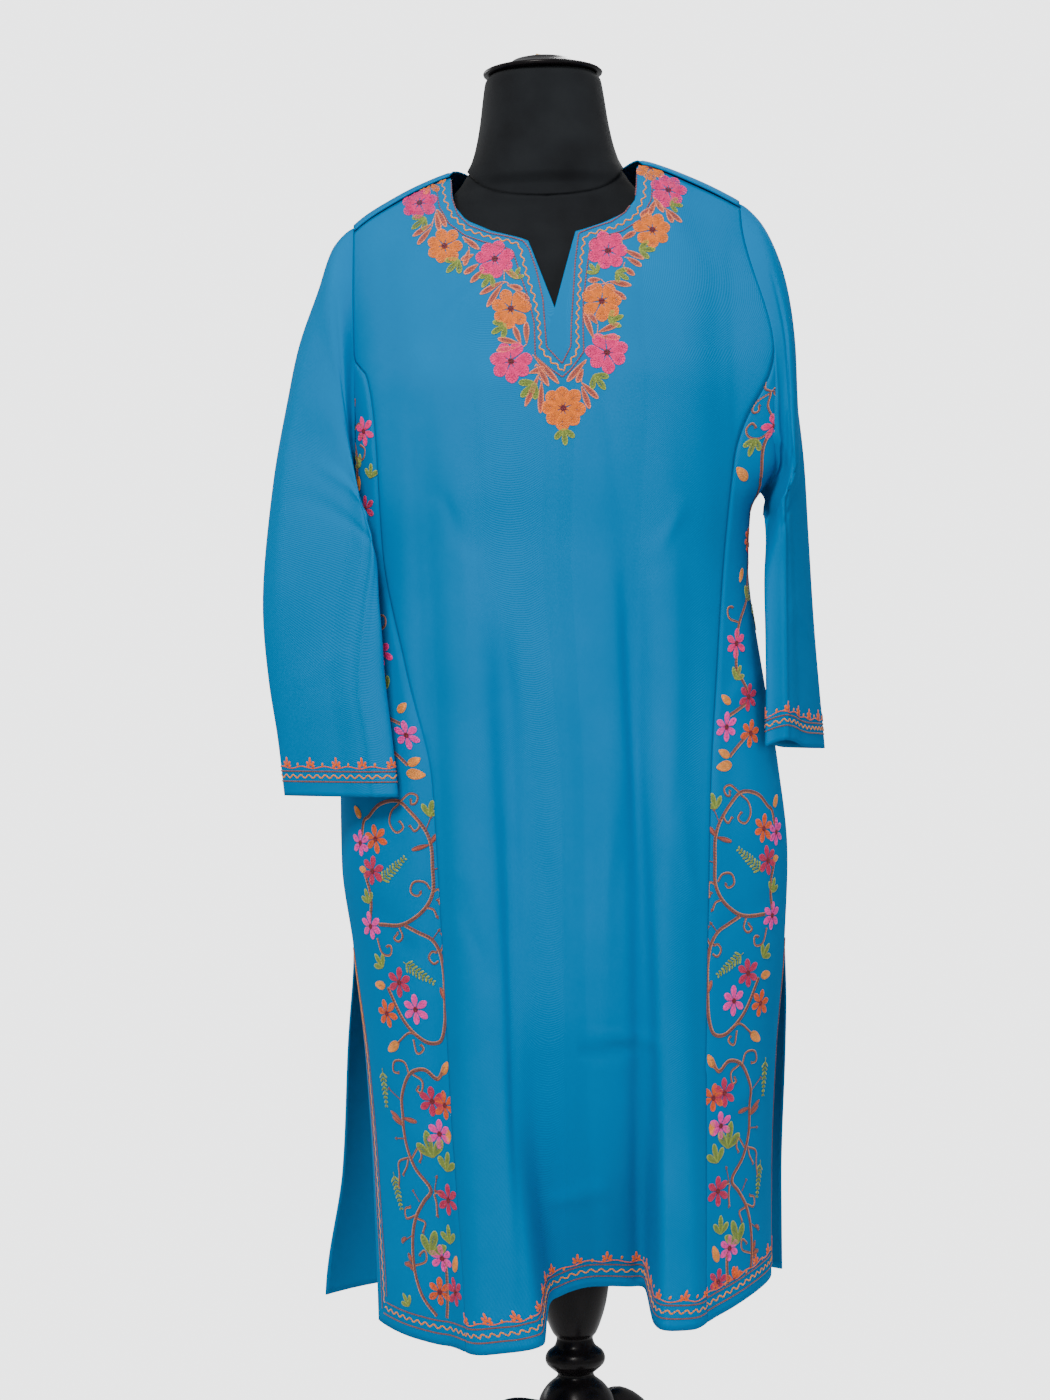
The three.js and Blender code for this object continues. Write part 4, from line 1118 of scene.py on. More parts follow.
def flatMap(name):
    # the piece laid flat: each triangle's place on the flat cloth and on the hung one
    points, normals = clothGrids[name]
    piece = clothPieces[name]
    if piece.get("wraps"):
        first = rowLengths(points)
        second = columnLengths(points)
        second = second[-1:] - second
    else:
        second = points[..., 2]
        if piece.get("middle"):
            first = levelLengths(points, piece["isFront"])
        else:
            first = rowLengths(points)
            if "right" in piece["seams"]:
                first = first[:, -1:] - first
    rows, columns = first.shape
    flat = np.stack([first, second, np.zeros_like(first)], -1).reshape(-1, 3)
    index = np.arange(rows * columns).reshape(rows, columns)
    a, b, c, d = index[:-1, :-1], index[1:, :-1], index[1:, 1:], index[:-1, 1:]
    triangles = np.concatenate([
        np.stack([a, b, d], -1).reshape(-1, 3), np.stack([b, c, d], -1).reshape(-1, 3)])
    tree = BVHTree.FromPolygons(flat.tolist(), triangles.tolist())
    return {
        "tree": tree, "triangles": triangles, "first": first, "second": second,
        "flat": [Vector(v) for v in flat], "hung": [Vector(v) for v in points.reshape(-1, 3)],
        "normals": [Vector(v) for v in normals.reshape(-1, 3)],
    }


def hungPlace(flatPiece, across, height):
    found, _, face, away = flatPiece["tree"].find_nearest(Vector((across, height, 0)))
    if found is None or away > 0.5:
        return None
    a, b, c = flatPiece["triangles"][face]
    flat, hung, normals = flatPiece["flat"], flatPiece["hung"], flatPiece["normals"]
    corners = (flat[a], flat[b], flat[c])
    return (barycentric_transform(found, *corners, hung[a], hung[b], hung[c]),
            (normals[a] + normals[b] + normals[c]).normalized())


def softPath(points):
    points = np.array(points, float)
    if len(points) < 3:
        return points
    return throughPoints(points[:, None, :], 6 * (len(points) - 1))[:, 0]


def pathLengths(path):
    steps = np.hypot(*np.diff(path, axis=0).T)
    return np.concatenate([[0], np.cumsum(steps)])


def chain(name, path, colour, width=None, shade=1.0, stitch=None, lifted=0.0):
    # a line of chain stitches along a path on the flat cloth
    path = np.array(path, float)
    lengths = pathLengths(path)
    size = stitch or threadLook["stitch"]
    count = max(1, round(lengths[-1] / size))
    places = np.linspace(0, lengths[-1], count + 1)
    xs = np.interp(places, lengths, path[:, 0])
    ys = np.interp(places, lengths, path[:, 1])
    for k in range(count):
        run = (xs[k + 1] - xs[k], ys[k + 1] - ys[k])
        length = math.hypot(*run) or 1e-3
        stitches[name].append((
            (xs[k] + xs[k + 1]) / 2, (ys[k] + ys[k + 1]) / 2, run[0] / length, run[1] / length,
            length, width or threadLook["width"], colour, lifted, shade))


def besidePath(path, away):
    # the same path moved a little to one side
    run = np.gradient(path, axis=0)
    run /= np.maximum(np.linalg.norm(run, axis=1, keepdims=True), 1e-6)
    return path + np.stack([-run[:, 1], run[:, 0]], -1) * away


def wavePath(points, swing, wave):
    # a wavy line that follows a path
    path = np.array(points, float)
    lengths = pathLengths(path)
    count = max(4, int(lengths[-1] / wave * 8))
    places = np.linspace(0, lengths[-1], count + 1)
    xs = np.interp(places, lengths, path[:, 0])
    ys = np.interp(places, lengths, path[:, 1])
    run = np.stack([np.gradient(xs), np.gradient(ys)], -1)
    run /= np.maximum(np.linalg.norm(run, axis=1, keepdims=True), 1e-6)
    offset = swing * np.sin(places / wave * 2 * math.pi)
    return np.stack([xs - run[:, 1] * offset, ys + run[:, 0] * offset], -1)


def petal(name, start, tip, half, colour, blunt=0.5, outline=None, rings=7):
    # a petal or leaf filled with rows of chain stitch, from its outline in to its middle
    start, tip = np.array(start, float), np.array(tip, float)
    run = tip - start
    length = float(np.hypot(*run))
    run /= length
    aside = np.array([-run[1], run[0]])
    first = len(stitches[name])
    for ring in range(rings):
        inset = petalLook["inset"] + ring * petalLook["step"]
        if half - inset < -0.6 or length - 2 * inset < 1:
            break
        wide = max(half - inset, 0.15)
        shares = np.linspace(0, 1, 13)
        profile = np.sin(math.pi * shares ** (1.0 + blunt)) ** 0.7
        along = inset + (length - 2 * inset) * shares
        sides = [start + run * u + aside * wide * w for u, w in zip(along, profile)]
        others = [start + run * u - aside * wide * w for u, w in zip(along, profile)]
        tint = outline if ring == 0 and outline else colour
        loop = sides + others[::-1] if wide > 0.4 else sides
        shade = petalLook["shade"] - petalLook["shadeStep"] * ring
        chain(name, loop, tint, shade=shade, stitch=petalLook["stitch"])
    for k in range(first, len(stitches[name])):
        row = stitches[name][k]
        share = ((row[0] - start[0]) * run[0] + (row[1] - start[1]) * run[1]) / length
        shade = row[-1] * (petalLook["dark"] + petalLook["lighter"] * share)
        stitches[name][k] = row[:-1] + (shade,)


def flower(name, across, height, size, count, colour, turn=0):
    starry = size < 30
    reach = size / 2
    half = reach * (0.24 if starry else 0.315)
    for k in range(count):
        angle = math.radians(turn) + 2 * math.pi * k / count + random.uniform(-0.08, 0.08)
        long = reach * random.uniform(0.94, 1.06)
        way = np.array([math.cos(angle), math.sin(angle)])
        start = np.array([across, height]) + way * reach * 0.1
        petal(name, start, np.array([across, height]) + way * long, half, colour,
              blunt=0.4 if starry else 0.7)
    for ring, count in ((0.7, 4), (1.7 if starry else 2.1, 8)):
        for k in range(count):
            angle = 2 * math.pi * k / count
            spot = (across + ring * math.cos(angle), height + ring * math.sin(angle))
            ahead = (spot[0] + 1.3 * math.cos(angle + 1.6), spot[1] + 1.3 * math.sin(angle + 1.6))
            chain(name, [spot, ahead], "heart", width=1.7, lifted=0.45)


def threeLobes(name, start, tip, colour="green"):
    start, tip = np.array(start, float), np.array(tip, float)
    run = tip - start
    length = max(float(np.hypot(*run)), 9)
    base = math.atan2(run[1], run[0])
    for swing, share in ((-0.75, 0.82), (0.0, 1.0), (0.75, 0.82)):
        angle = base + swing
        end = start + np.array([math.cos(angle), math.sin(angle)]) * length * share
        petal(name, start, end, length * 0.17, colour, blunt=0.5, outline="fern")


def frond(name, start, tip):
    start, tip = np.array(start, float), np.array(tip, float)
    run = tip - start
    length = float(np.hypot(*run))
    run /= length
    aside = np.array([-run[1], run[0]])
    chain(name, [start, tip], "green", width=1.1)
    steps = int(length / 3.6)
    for k in range(1, steps + 1):
        spot = start + run * k * length / steps
        reach = 8.5 * (1 - 0.55 * k / steps)
        for sign in (-1, 1):
            end = spot + run * reach * 0.6 + aside * sign * reach * 0.8
            petal(name, spot, end, 1.1, "fern" if k % 2 else "green", rings=1)


def bud(name, start, tip):
    half = max(3.2, math.dist(start, tip) * 0.26)
    petal(name, start, tip, half, "bud", blunt=-0.25, outline="tan")


def knob(name, place):
    for k in range(3):
        angle = 2.1 * k
        chain(name, [place, (place[0] + 1.6 * math.cos(angle), place[1] + 1.6 * math.sin(angle))],
              "stem", width=1.6)


# Neckline: flowers, then leaves as pairs of a base and a tip, then the border's lines
neckFlowers = rowsOf("across height size colour turn", [
    (-113, 1323, 32, "pink", 10), (-91, 1279, 31, "orange", 0), (-47, 1265, 33, "pink", 20),
    (-34, 1219, 33, "orange", 5), (-35, 1172, 34, "pink", 12), (9, 1130, 36, "orange", 0),
    (48, 1178, 34, "pink", 18), (45, 1224, 34, "orange", 8), (52, 1270, 34, "pink", 0),
    (92, 1289, 32, "orange", 14), (108, 1328, 32, "pink", 4), (94, 1352, 28, "orange", 9),
    (-104, 1344, 26, "orange", 0),
])
neckGreens = [
    ((-107, 1307), (-121, 1297)), ((-78, 1266), (-90, 1254)), ((-50, 1251), (-59, 1239)),
    ((-31, 1246), (-25, 1257)), ((-38, 1205), (-52, 1197)), ((-14, 1153), (-28, 1140)),
    ((9, 1113), (10, 1097)), ((36, 1159), (46, 1145)), ((50, 1205), (64, 1211)),
    ((42, 1249), (35, 1259)), ((58, 1251), (70, 1243)), ((79, 1271), (95, 1271)),
    ((108, 1314), (122, 1313)),
]
neckLeaves = [
    ((-102, 1300), (-120, 1290)), ((-102, 1297), (-116, 1281)), ((-97, 1314), (-89, 1296)),
    ((-98, 1311), (-95, 1292)), ((-75, 1287), (-60, 1274)), ((-69, 1275), (-74, 1259)),
    ((-65, 1270), (-77, 1265)), ((-61, 1261), (-75, 1252)), ((-56, 1256), (-69, 1244)),
    ((-41, 1244), (-61, 1233)), ((-41, 1242), (-55, 1221)), ((-39, 1255), (-26, 1246)),
    ((-35, 1241), (-23, 1236)), ((-30, 1236), (-17, 1226)), ((-21, 1187), (-21, 1208)),
    ((-26, 1187), (-32, 1204)), ((-28, 1188), (-47, 1193)), ((-30, 1184), (-48, 1182)),
    ((-15, 1176), (6, 1151)), ((-13, 1169), (-3, 1149)), ((-11, 1160), (-24, 1132)),
    ((-9, 1154), (-11, 1125)), ((-20, 1161), (-5, 1166)), ((30, 1172), (12, 1152)),
    ((27, 1164), (21, 1151)), ((25, 1152), (40, 1137)), ((25, 1149), (32, 1128)),
    ((37, 1190), (29, 1215)), ((41, 1196), (60, 1204)), ((42, 1192), (61, 1191)),
    ((41, 1203), (33, 1214)), ((43, 1239), (31, 1234)), ((45, 1244), (33, 1243)),
    ((54, 1235), (67, 1225)), ((52, 1242), (72, 1238)), ((65, 1255), (75, 1247)),
    ((68, 1264), (82, 1255)), ((64, 1280), (78, 1288)), ((66, 1271), (84, 1262)),
    ((92, 1310), (81, 1301)), ((96, 1317), (89, 1302)), ((103, 1310), (120, 1296)),
    ((105, 1308), (111, 1295)), ((94, 1320), (103, 1305)),
]
neckInner = [
    [(-84, 1349), (-84, 1325), (-79, 1308), (-69, 1297), (-51, 1289), (-34, 1285), (-22, 1281),
     (-17, 1274), (-11, 1254), (-6, 1227), (-5, 1204), (-4, 1184), (9, 1169)],
    [(81, 1347), (78, 1322), (69, 1306), (56, 1297), (40, 1292), (27, 1287), (23, 1260),
     (20, 1226), (18, 1204), (17, 1184), (9, 1169)],
]
neckWave = [
    [(-92, 1345), (-90, 1323), (-84, 1307), (-71, 1293), (-51, 1285), (-34, 1281), (-25, 1277),
     (-20, 1252), (-13, 1227), (-10, 1205), (-9, 1182), (0, 1171), (9, 1163)],
    [(89, 1348), (86, 1320), (77, 1302), (60, 1292), (44, 1288), (32, 1284), (28, 1260),
     (25, 1226), (23, 1204), (23, 1181), (15, 1168), (9, 1163)],
]
neckOuter = [
    [(-98, 1340), (-95, 1316), (-87, 1300), (-73, 1288), (-56, 1281), (-39, 1276), (-31, 1272),
     (-25, 1250), (-18, 1227), (-14, 1205), (-14, 1176), (-2, 1165), (9, 1157)],
    [(96, 1348), (92, 1317), (82, 1299), (65, 1288), (50, 1284), (38, 1281), (34, 1260),
     (29, 1226), (28, 1200), (28, 1179), (17, 1164), (9, 1157)],
]


def sewNeck():
    piece = "frontPanel"
    for row in neckFlowers:
        flower(piece, row["across"], row["height"], row["size"] + 3, 7 if row["size"] < 36 else 8,
               row["colour"], row["turn"])
    for start, tip in neckGreens:
        threeLobes(piece, start, tip)
    bases = np.array([start for start, tip in neckLeaves], float)
    for start, tip in neckLeaves:
        petal(piece, start, tip, 2.7, "leaf", blunt=0.35, outline="leafPale")
        near = bases[np.hypot(*(bases - np.array(start)).T) < 15].mean(axis=0)
        if math.dist(near, start) > 1.5:
            chain(piece, [near, start], "leafPale", width=1.2)
    for line in neckInner + neckOuter:
        chain(piece, line, "edge", width=threadLook["lineWidth"])
    for line in neckWave:
        chain(piece, wavePath(line, 1.5, 8.5), "tan", width=1.7, stitch=2.1)


# Gores: the winding stem with its curls and twigs
goreStems = [
    [(70, 781), (56, 792), (36, 795), (25, 786), (12, 769), (8, 756), (8, 737), (9, 716),
     (16, 703), (28, 693), (43, 687), (68, 687)],
    [(38, 687), (25, 681), (13, 675), (6, 665), (3, 650), (3, 624), (5, 599), (10, 587),
     (20, 585), (32, 591), (46, 604), (62, 632)],
    [(8, 566), (16, 554), (27, 562), (40, 560), (47, 554), (56, 535), (56, 519), (56, 497),
     (49, 477), (34, 458), (43, 448), (54, 434), (61, 416), (63, 388), (57, 366), (43, 350)],
    [(33, 349), (31, 362), (29, 386), (29, 400)], [(31, 457), (23, 456)],
    [(24, 1150), (34, 1120), (30, 1098), (36, 1070), (58, 1040), (60, 1014)],
    [(60, 1004), (48, 982), (44, 966), (30, 946), (25, 930)],
    [(26, 918), (26, 904), (34, 892), (42, 882)], [(40, 872), (20, 862)],
    [(44, 846), (30, 834), (22, 826)], [(80, 765), (76, 778), (70, 781)],
    [(79, 731), (74, 712), (78, 690)],
]
goreCurls = [
    [(34, 795), (23, 802), (16, 799), (19, 792), (24, 792), (23, 796)],
    [(35, 792), (43, 786), (46, 776), (40, 768), (33, 772), (36, 777)],
    [(12, 718), (16, 724), (26, 724), (29, 716), (23, 713), (20, 716)],
    [(10, 716), (3, 719), (2, 712), (3, 704), (5, 709)],
    [(16, 703), (9, 701), (6, 694)], [(44, 685), (41, 677), (46, 672), (52, 675), (47, 680)],
    [(5, 665), (2, 672), (3, 680)], [(7, 656), (12, 653), (17, 659), (13, 665), (9, 664)],
    [(70, 675), (65, 662), (56, 661), (55, 668), (59, 668)],
    [(36, 588), (33, 576), (27, 580), (29, 583)], [(32, 591), (40, 593), (54, 584)],
    [(45, 557), (49, 567), (61, 567), (63, 559), (57, 558)],
    [(40, 558), (30, 552), (33, 541), (38, 544), (35, 547)],
    [(51, 485), (41, 495), (39, 486), (42, 482)], [(55, 484), (68, 479), (69, 468), (72, 457)],
    [(55, 483), (58, 476), (64, 469)], [(31, 455), (30, 447), (31, 436)],
    [(53, 435), (67, 431), (67, 440), (60, 442)], [(53, 433), (44, 430), (48, 421)],
    [(62, 392), (49, 397), (49, 405), (55, 401)], [(17, 554), (9, 560)],
    [(34, 1120), (22, 1128), (14, 1122), (18, 1114), (22, 1118)],
    [(36, 1126), (46, 1134), (52, 1126), (46, 1120), (43, 1125)],
    [(32, 1100), (20, 1096), (16, 1104), (22, 1108)],
    [(38, 1068), (52, 1072), (56, 1082), (48, 1084)],
    [(56, 1036), (70, 1034), (74, 1042), (68, 1046)], [(28, 944), (14, 948), (12, 956), (18, 957)],
    [(24, 786), (16, 774), (22, 768), (26, 773)],
]
goreTwigs = [
    ((8, 735), (1, 737)), ((12, 675), (5, 683)), ((57, 534), (72, 543)), ((56, 501), (69, 500)),
    ((31, 457), (27, 470)), ((48, 447), (54, 456)), ((60, 418), (75, 410)), ((12, 769), (6, 781)),
]
goreFlowers = rowsOf("across height size colour turn", [
    (83, 758, 25, "palePink", 90), (63, 762, 26, "rust", 80), (69, 734, 27, "rose", 100),
    (78, 685, 26, "palePink", 85), (48, 637, 27, "rose", 95), (66, 609, 26, "rust", 75),
    (32, 614, 27, "palePink", 90), (23, 535, 27, "rose", 90), (10, 532, 26, "rust", 84),
    (19, 507, 26, "palePink", 96), (17, 451, 27, "rose", 90), (32, 400, 25, "palePink", 88),
    (38, 371, 25, "rust", 92), (18, 373, 25, "rose", 80), (15, 1120, 26, "pink", 85),
    (61, 1014, 26, "rose", 95), (47, 1018, 23, "rust", 80), (20, 1052, 25, "rose", 90),
    (25, 925, 27, "pink", 90), (43, 878, 26, "rose", 84), (17, 852, 26, "palePink", 92),
    (46, 846, 26, "rust", 78),
])
goreBuds = [
    ((25, 819), (7, 817)), ((80, 780), (90, 791)), ((77, 734), (87, 736)), ((65, 633), (80, 634)),
    ((54, 584), (69, 576)), ((10, 558), (4, 570)), ((9, 512), (9, 499)), ((18, 390), (11, 405)),
    ((30, 1082), (30, 1068)), ((34, 992), (28, 979)), ((20, 872), (9, 880)), ((22, 826), (9, 832)),
]
goreGreens = [
    ((8, 781), (3, 796)), ((77, 705), (81, 719)), ((66, 649), (76, 661)), ((28, 486), (32, 510)),
    ((16, 475), (11, 493)), ((21, 413), (21, 430)), ((43, 402), (35, 424)), ((74, 355), (81, 366)),
    ((24, 1090), (34, 1100)), ((43, 964), (52, 978)), ((25, 893), (32, 906)),
    ((11, 1078), (8, 1092)),
]
goreFronds = [((61, 724), (34, 745)), ((42, 655), (14, 638)), ((80, 560), (78, 528)),
              ((78, 470), (72, 440)), ((60, 962), (80, 940)), ((56, 1000), (80, 1006))]
goreLeaves = [
    ((9, 757), (27, 752)), ((9, 757), (1, 767)), ((3, 622), (7, 634)), ((56, 519), (39, 516)),
    ((57, 515), (72, 524)), ((56, 512), (70, 519)), ((64, 391), (76, 392)), ((64, 386), (71, 395)),
    ((65, 393), (69, 402)), ((69, 415), (77, 410)), ((35, 1118), (48, 1108)),
    ((58, 1040), (46, 1050)),
]


# Above the elbow the right gore differs
goreRightStems = [
    [(1, 1159), (6, 1148), (13, 1146), (18, 1134), (29, 1124)],
    [(15, 1146), (18, 1152), (24, 1153), (26, 1148), (22, 1144), (18, 1146)],
    [(13, 1145), (6, 1139), (4, 1132), (8, 1127), (13, 1129), (10, 1134)],
    [(32, 1113), (24, 1106), (13, 1107), (8, 1113), (11, 1118), (16, 1115)],
]


def sewGore(piece):
    right = "Right" in piece

    def shown(points):
        # the right gore has its own work at the top
        return not (right and min(point[1] for point in points) > 1040)

    for line in filter(shown, goreStems):
        path = softPath(line)
        chain(piece, path, "stem", width=1.4)
        chain(piece, besidePath(path, 1.15), "stemPale", width=1.2)
        chain(piece, besidePath(path, -1.15), "stem", width=1.3)
    for line in list(filter(shown, goreCurls)) + (goreRightStems if right else []):
        path = softPath(line)
        chain(piece, path, "stem", width=1.35, stitch=2.2)
        chain(piece, besidePath(path, 1.0), "stemPale", width=1.1, stitch=2.2)
        knob(piece, tuple(path[-1]))
    for start, tip in goreTwigs:
        chain(piece, [start, tip], "stem")
        knob(piece, tip)
    for row in goreFlowers:
        if not shown([(row["across"], row["height"])]):
            continue
        flower(piece, row["across"], row["height"], row["size"], 6, row["colour"], row["turn"])
    for start, tip in filter(shown, goreBuds):
        bud(piece, start, tip)
    for start, tip in filter(shown, goreGreens):
        threeLobes(piece, start, tip)
    if right:
        flower(piece, 35, 1117, 27, 6, "pink", 70)
        threeLobes(piece, (20, 1106), (17, 1089))
        bud(piece, (20, 1069), (6, 1080))
    for start, tip in goreFronds:
        frond(piece, start, tip)
    for start, tip in goreLeaves:
        petal(piece, start, tip, 2.2, "leaf", blunt=0.2, outline="stem")


# Borders: two lines with a wave between them; along the hems and cuffs also a row of sprigs
border = {
    "hem": (10, 15.5, 21), "slit": (13, 18.5, 24), "cuff": (13, 17.5, 22), "neck": (2, 6.5, 11),
    "wave": 9.0, "swing": 1.7, "sprigStep": 25.0, "sprigRise": 3.5,
    "sprigLobes": ((90, 9.5), (52, 7.5), (128, 7.5), (18, 5.5), (162, 5.5)),
}


def bordered(piece, lines, swing=None):
    inner, middle, outer = lines
    chain(piece, inner, "stem", width=threadLook["lineWidth"])
    chain(piece, outer, "stem", width=threadLook["lineWidth"])
    wave = wavePath(middle, swing or border["swing"], border["wave"])
    chain(piece, wave, "tan", width=1.6, stitch=2.1)


def sprigs(piece, line, rise):
    # a low scroll with sprigs of three or five lobes and small buds between them
    line = np.array(line, float)
    line[:, 1] += rise
    lengths = pathLengths(line)
    chain(piece, wavePath(line, 1.0, border["sprigStep"]), "sprig", width=1.2)
    count = max(1, int(lengths[-1] / border["sprigStep"]))
    for k in range(count):
        at = (k + 0.5) * lengths[-1] / count
        x = float(np.interp(at, lengths, line[:, 0]))
        y = float(np.interp(at, lengths, line[:, 1]))
        for angle, reach in border["sprigLobes"]:
            way = (math.cos(math.radians(angle)), math.sin(math.radians(angle)))
            petal(piece, (x + way[0], y + way[1]), (x + way[0] * reach, y + way[1] * reach),
                  1.3, "sprig", blunt=0.5, rings=2)
        x += border["sprigStep"] / 2
        petal(piece, (x, y + 0.5), (x + 1, y + 5), 1.2, "orange", rings=2)


def sewHem(piece, flatPiece, withSprigs):
    edge = np.stack([flatPiece["first"][-1], flatPiece["second"][-1]], -1)
    if edge[0, 0] > edge[-1, 0]:
        edge = edge[::-1]
    isGore = not clothPieces[piece].get("middle")
    lines = []
    for k, inset in enumerate(border["hem"]):
        line = edge.copy()
        line[:, 1] += inset
        if isGore:
            line = line[line[:, 0] < edge[-1, 0] - border["slit"][k] + 1]
        lines.append(line)
    bordered(piece, lines)
    if withSprigs:
        sprigs(piece, lines[2], border["sprigRise"])


def sewSlit(piece, flatPiece):
    first, second = flatPiece["first"], flatPiece["second"]
    column = 0 if "right" in clothPieces[piece]["seams"] else -1
    edge = np.stack([first[:, column], second[:, column]], -1)
    lines = []
    for k, inset in enumerate(border["slit"]):
        low = edge[-1, 1] + border["hem"][k] - 1
        line = edge[(edge[:, 1] < garment["slitTop"]) & (edge[:, 1] > low)].copy()
        line[:, 0] -= inset
        lines.append(line)
    bordered(piece, lines, swing=1.3)


def sewCuff(piece, flatPiece):
    length = float(flatPiece["first"][-1, -1])
    steps = np.linspace(0.5, length - 0.5, 60)
    lines = [np.stack([steps, np.full_like(steps, inset)], -1) for inset in border["cuff"]]
    bordered(piece, lines)
    sprigs(piece, lines[2], border["sprigRise"])


def sewBackNeck(flatPiece):
    edge = np.stack([flatPiece["first"][0], flatPiece["second"][0]], -1)
    edge = edge[np.abs(edge[:, 0]) < 66]
    if edge[0, 0] > edge[-1, 0]:
        edge = edge[::-1]
    lines = []
    for inset in border["neck"]:
        line = edge.copy()
        line[:, 1] -= inset
        lines.append(line)
    bordered("backPanel", lines, swing=1.4)


def threadMaterial():
    material, nodes, links, shader = newMaterial("embroideryThread")
    colour = addNode(nodes, "ShaderNodeAttribute", attribute_name="threadColour")
    strands = solidNoise(nodes, links, Scale=1800.0, Detail=2.0)
    mixed = addNode(nodes, "ShaderNodeMix", data_type="RGBA", blend_type="OVERLAY")
    mixed.inputs["Factor"].default_value = 0.3
    links.new(colour.outputs["Color"], mixed.inputs["A"])
    links.new(strands.outputs["Fac"], mixed.inputs["B"])
    links.new(mixed.outputs["Result"], shader.inputs["Base Color"])
    roughen(nodes, links, shader, strands.outputs["Fac"], 0.3, 0.0003)
    setSockets(shader, {"Roughness": 0.6, "Specular IOR Level": 0.35, "Sheen Weight": 0.2})
    return material


def stitchTemplate():
    # one stitch: a small grain, one long, one wide and one high, pointing along its own first axis
    bm = bmesh.new()
    bmesh.ops.create_uvsphere(
        bm, u_segments=threadLook["sides"], v_segments=threadLook["bands"], radius=0.5)
    bmesh.ops.triangulate(bm, faces=bm.faces[:])
    bmesh.ops.rotate(
        bm, verts=bm.verts[:], cent=(0, 0, 0), matrix=Matrix.Rotation(math.pi / 2, 3, "Y"))
    bm.verts.index_update()
    verts = np.array([vert.co for vert in bm.verts])
    faces = np.array([[vert.index for vert in face.verts] for face in bm.faces])
    bm.free()
    return verts, faces


def sewnMesh(name, rows, flatPiece, template):
    # every stitch of a piece as one joined mesh, each with its own thread colour
    verts, faces = template
    places, colours = [], []
    for across, height, wayA, wayB, length, width, tint, lifted, shade in rows:
        here = hungPlace(flatPiece, across, height)
        ahead = hungPlace(flatPiece, across + wayA * 0.8, height + wayB * 0.8)
        if here is None or ahead is None:
            continue
        normal = here[1]
        along = ahead[0] - here[0]
        along -= normal * along.dot(normal)
        if along.length < 1e-4:
            continue
        along.normalize()
        aside = normal.cross(along)
        centre = here[0] + normal * (threadLook["height"] / 2 - threadLook["sink"] + lifted)
        varied = 1 + random.uniform(-1, 1) * threadLook["toneSpread"]
        places.append((
            *centre, *(along * length * 1.25), *(aside * width),
            *(normal * threadLook["height"] * random.uniform(0.85, 1.1))))
        tinted = [min(1.0, value * shade * varied) for value in threadColours[tint]]
        colours.append(tinted + [1.0])
    places = np.array(places)
    count = len(places)
    world = (
        places[:, None, 0:3] + verts[None, :, 0:1] * places[:, None, 3:6]
        + verts[None, :, 1:2] * places[:, None, 6:9] + verts[None, :, 2:3] * places[:, None, 9:12])
    world = placed(world.reshape(-1, 3))
    # straight from arrays, as every stitch is a copy of one template
    corners = (faces[None] + np.arange(count)[:, None, None] * len(verts)).reshape(-1)
    mesh = bpy.data.meshes.new(name)
    mesh.vertices.add(len(world))
    mesh.vertices.foreach_set("co", world.ravel())
    mesh.loops.add(len(corners))
    mesh.loops.foreach_set("vertex_index", corners)
    mesh.polygons.add(len(corners) // 3)
    mesh.polygons.foreach_set("loop_start", np.arange(0, len(corners), 3))
    mesh.polygons.foreach_set("use_smooth", np.ones(len(corners) // 3, bool))
    mesh.update(calc_edges=True)
    attribute = mesh.attributes.new("threadColour", "FLOAT_COLOR", "POINT")
    attribute.data.foreach_set("color", np.repeat(np.array(colours), len(verts), axis=0).ravel())
    return linked(name, mesh)


threadColours = {name: tone(code) for name, code in threadTones.items()}
flatPieces = {name: flatMap(name) for name in clothPieces}
sewNeck()
for name in ("goreFrontLeft", "goreFrontRight"):
    sewGore(name)
    first, second = flatPieces[name]["first"], flatPieces[name]["second"]
    order = np.argsort(first[-1])
    hem = np.interp([row[0] for row in stitches[name]], first[-1][order], second[-1][order])
    slitEdge = first.max(axis=1)
    reach = np.interp([row[1] for row in stitches[name]], second[::-1, 0], slitEdge[::-1])
    stitches[name] = [
        row for row, low, far in zip(stitches[name], hem, reach)
        if row[1] > low + border["hem"][2] + 3
        and (row[1] > garment["slitTop"] or row[0] < far - border["slit"][2] - 2)]
for name in clothPieces:
    if "sleeve" in name:
        sewCuff(name, flatPieces[name])
    else:
        sewHem(name, flatPieces[name], withSprigs="Left" not in name or "Back" in name)
    if "gore" in name:
        sewSlit(name, flatPieces[name])
sewBackNeck(flatPieces["backPanel"])
threadSurface = threadMaterial()
template = stitchTemplate()
for name, rows in stitches.items():
    obj = sewnMesh("stitches" + name[0].upper() + name[1:], rows, flatPieces[name], template)
    wear(obj, threadSurface)
    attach(obj, "root")
print("scene: embroidery sewn,", sum(len(rows) for rows in stitches.values()), "stitches")


# Camera, light and floor
def pointed(obj, place, target):
    obj.location = place
    aim = Vector(target) - Vector(place)
    obj.rotation_euler = aim.to_track_quat("-Z", "Y").to_euler()


# The camera from the pole's foot. Its focal length, 2884 pixels for 1400 rows, is assumed.
view = {"offset": (-0.0303, -2.6, 0.88), "roll": -1.4505, "focal": 2884 / 1400 * 36}
camera = linked("photoCamera", bpy.data.cameras.new("photoCamera"))
camera.data.sensor_fit = "VERTICAL"
camera.data.sensor_height = 36
camera.data.lens = view["focal"]
camera.matrix_world = (
    Matrix.Translation(Vector(poleAxis) + Vector(view["offset"]))
    @ Matrix.Rotation(math.radians(90), 4, "X")
    @ Matrix.Rotation(math.radians(view["roll"]), 4, "Z"))
bpy.context.scene.camera = camera

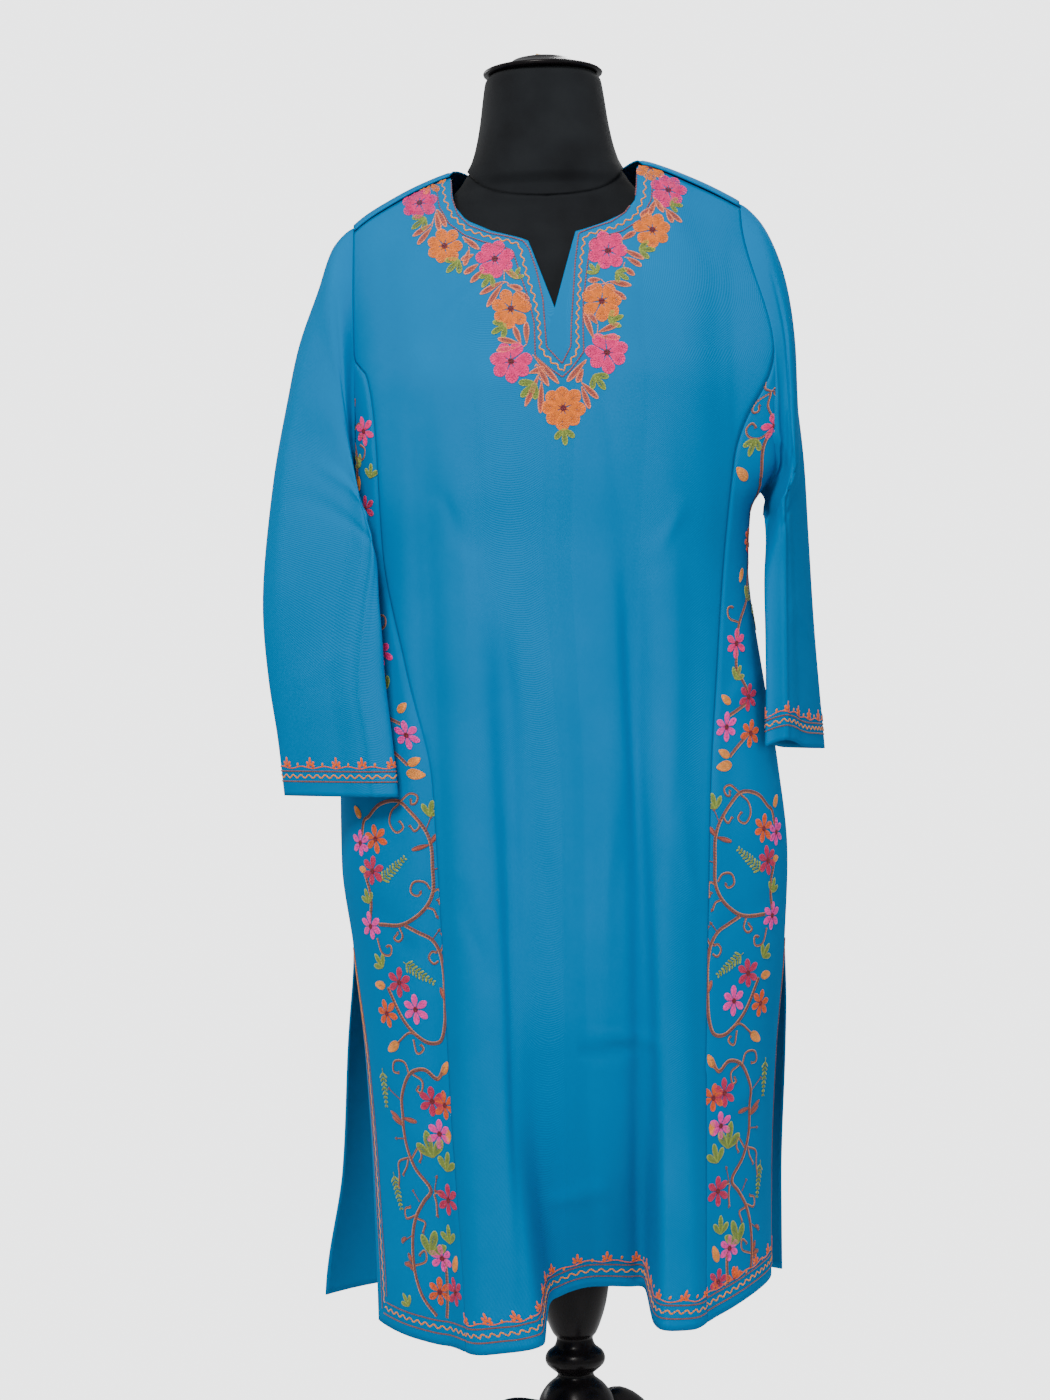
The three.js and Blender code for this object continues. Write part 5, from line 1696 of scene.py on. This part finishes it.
studio = {"aim": 0.95, "softSky": 0.55, "brightSky": 3.3, "floorRadius": 1.0}
lightRows = rowsOf("name place size power colour", [
    ("keyLight", (-0.62, -2.2, 2.8), 0.8, 100, "fffaf5"),
    ("fillLight", (1.9, -1.6, 1.7), 1.2, 14, "f2f6ff"),
    ("backLight", (0.9, 2.4, 2.6), 1.2, 60, "ffffff"),
    ("backFill", (-1.8, 1.8, 1.4), 1.2, 20, "ffffff"),
])
for row in lightRows:
    lamp = linked(row["name"], bpy.data.lights.new(row["name"], "AREA"))
    lamp.data.size = row["size"]
    lamp.data.energy = row["power"]
    lamp.data.color = tone(row["colour"])
    pointed(lamp, row["place"], (poleAxis[0], poleAxis[1], studio["aim"]))
# The plain background looks bright, and lights the cloth only softly
world = bpy.data.worlds.new("studio")
world.use_nodes = True
worldTree = world.node_tree
softSky = next(node for node in worldTree.nodes if node.type == "BACKGROUND")
softSky.inputs["Color"].default_value = (*tone("f2f4f6"), 1)
softSky.inputs["Strength"].default_value = studio["softSky"]
brightSky = addNode(worldTree.nodes, "ShaderNodeBackground", Strength=studio["brightSky"])
brightSky.inputs["Color"].default_value = (*tone("fafbfc"), 1)
rays = addNode(worldTree.nodes, "ShaderNodeLightPath")
chosen = addNode(worldTree.nodes, "ShaderNodeMixShader")
worldTree.links.new(rays.outputs["Is Camera Ray"], chosen.inputs[0])
worldTree.links.new(softSky.outputs[0], chosen.inputs[1])
worldTree.links.new(brightSky.outputs[0], chosen.inputs[2])
worldOut = next(node for node in worldTree.nodes if node.type == "OUTPUT_WORLD")
worldTree.links.new(chosen.outputs[0], worldOut.inputs["Surface"])
bpy.context.scene.world = world


def floorMaterial():
    material, nodes, links, shader = newMaterial("paleFloor")
    cloud = solidNoise(nodes, links, Scale=3.0, Detail=3.0)
    colourFrom(nodes, links, shader, cloud, [(0.3, tone("ececec")), (0.7, tone("f2f2f2"))])
    setSockets(shader, {"Roughness": 0.8})
    return material


floorBm = bmesh.new()
bmesh.ops.create_circle(floorBm, cap_ends=True, segments=96, radius=studio["floorRadius"])
bmesh.ops.translate(floorBm, verts=floorBm.verts[:], vec=(poleAxis[0], poleAxis[1], 0))
studioFloor = meshObject("studioFloor", floorBm)
wear(studioFloor, floorMaterial())

bpy.context.view_layer.update()
print("scene: staged")
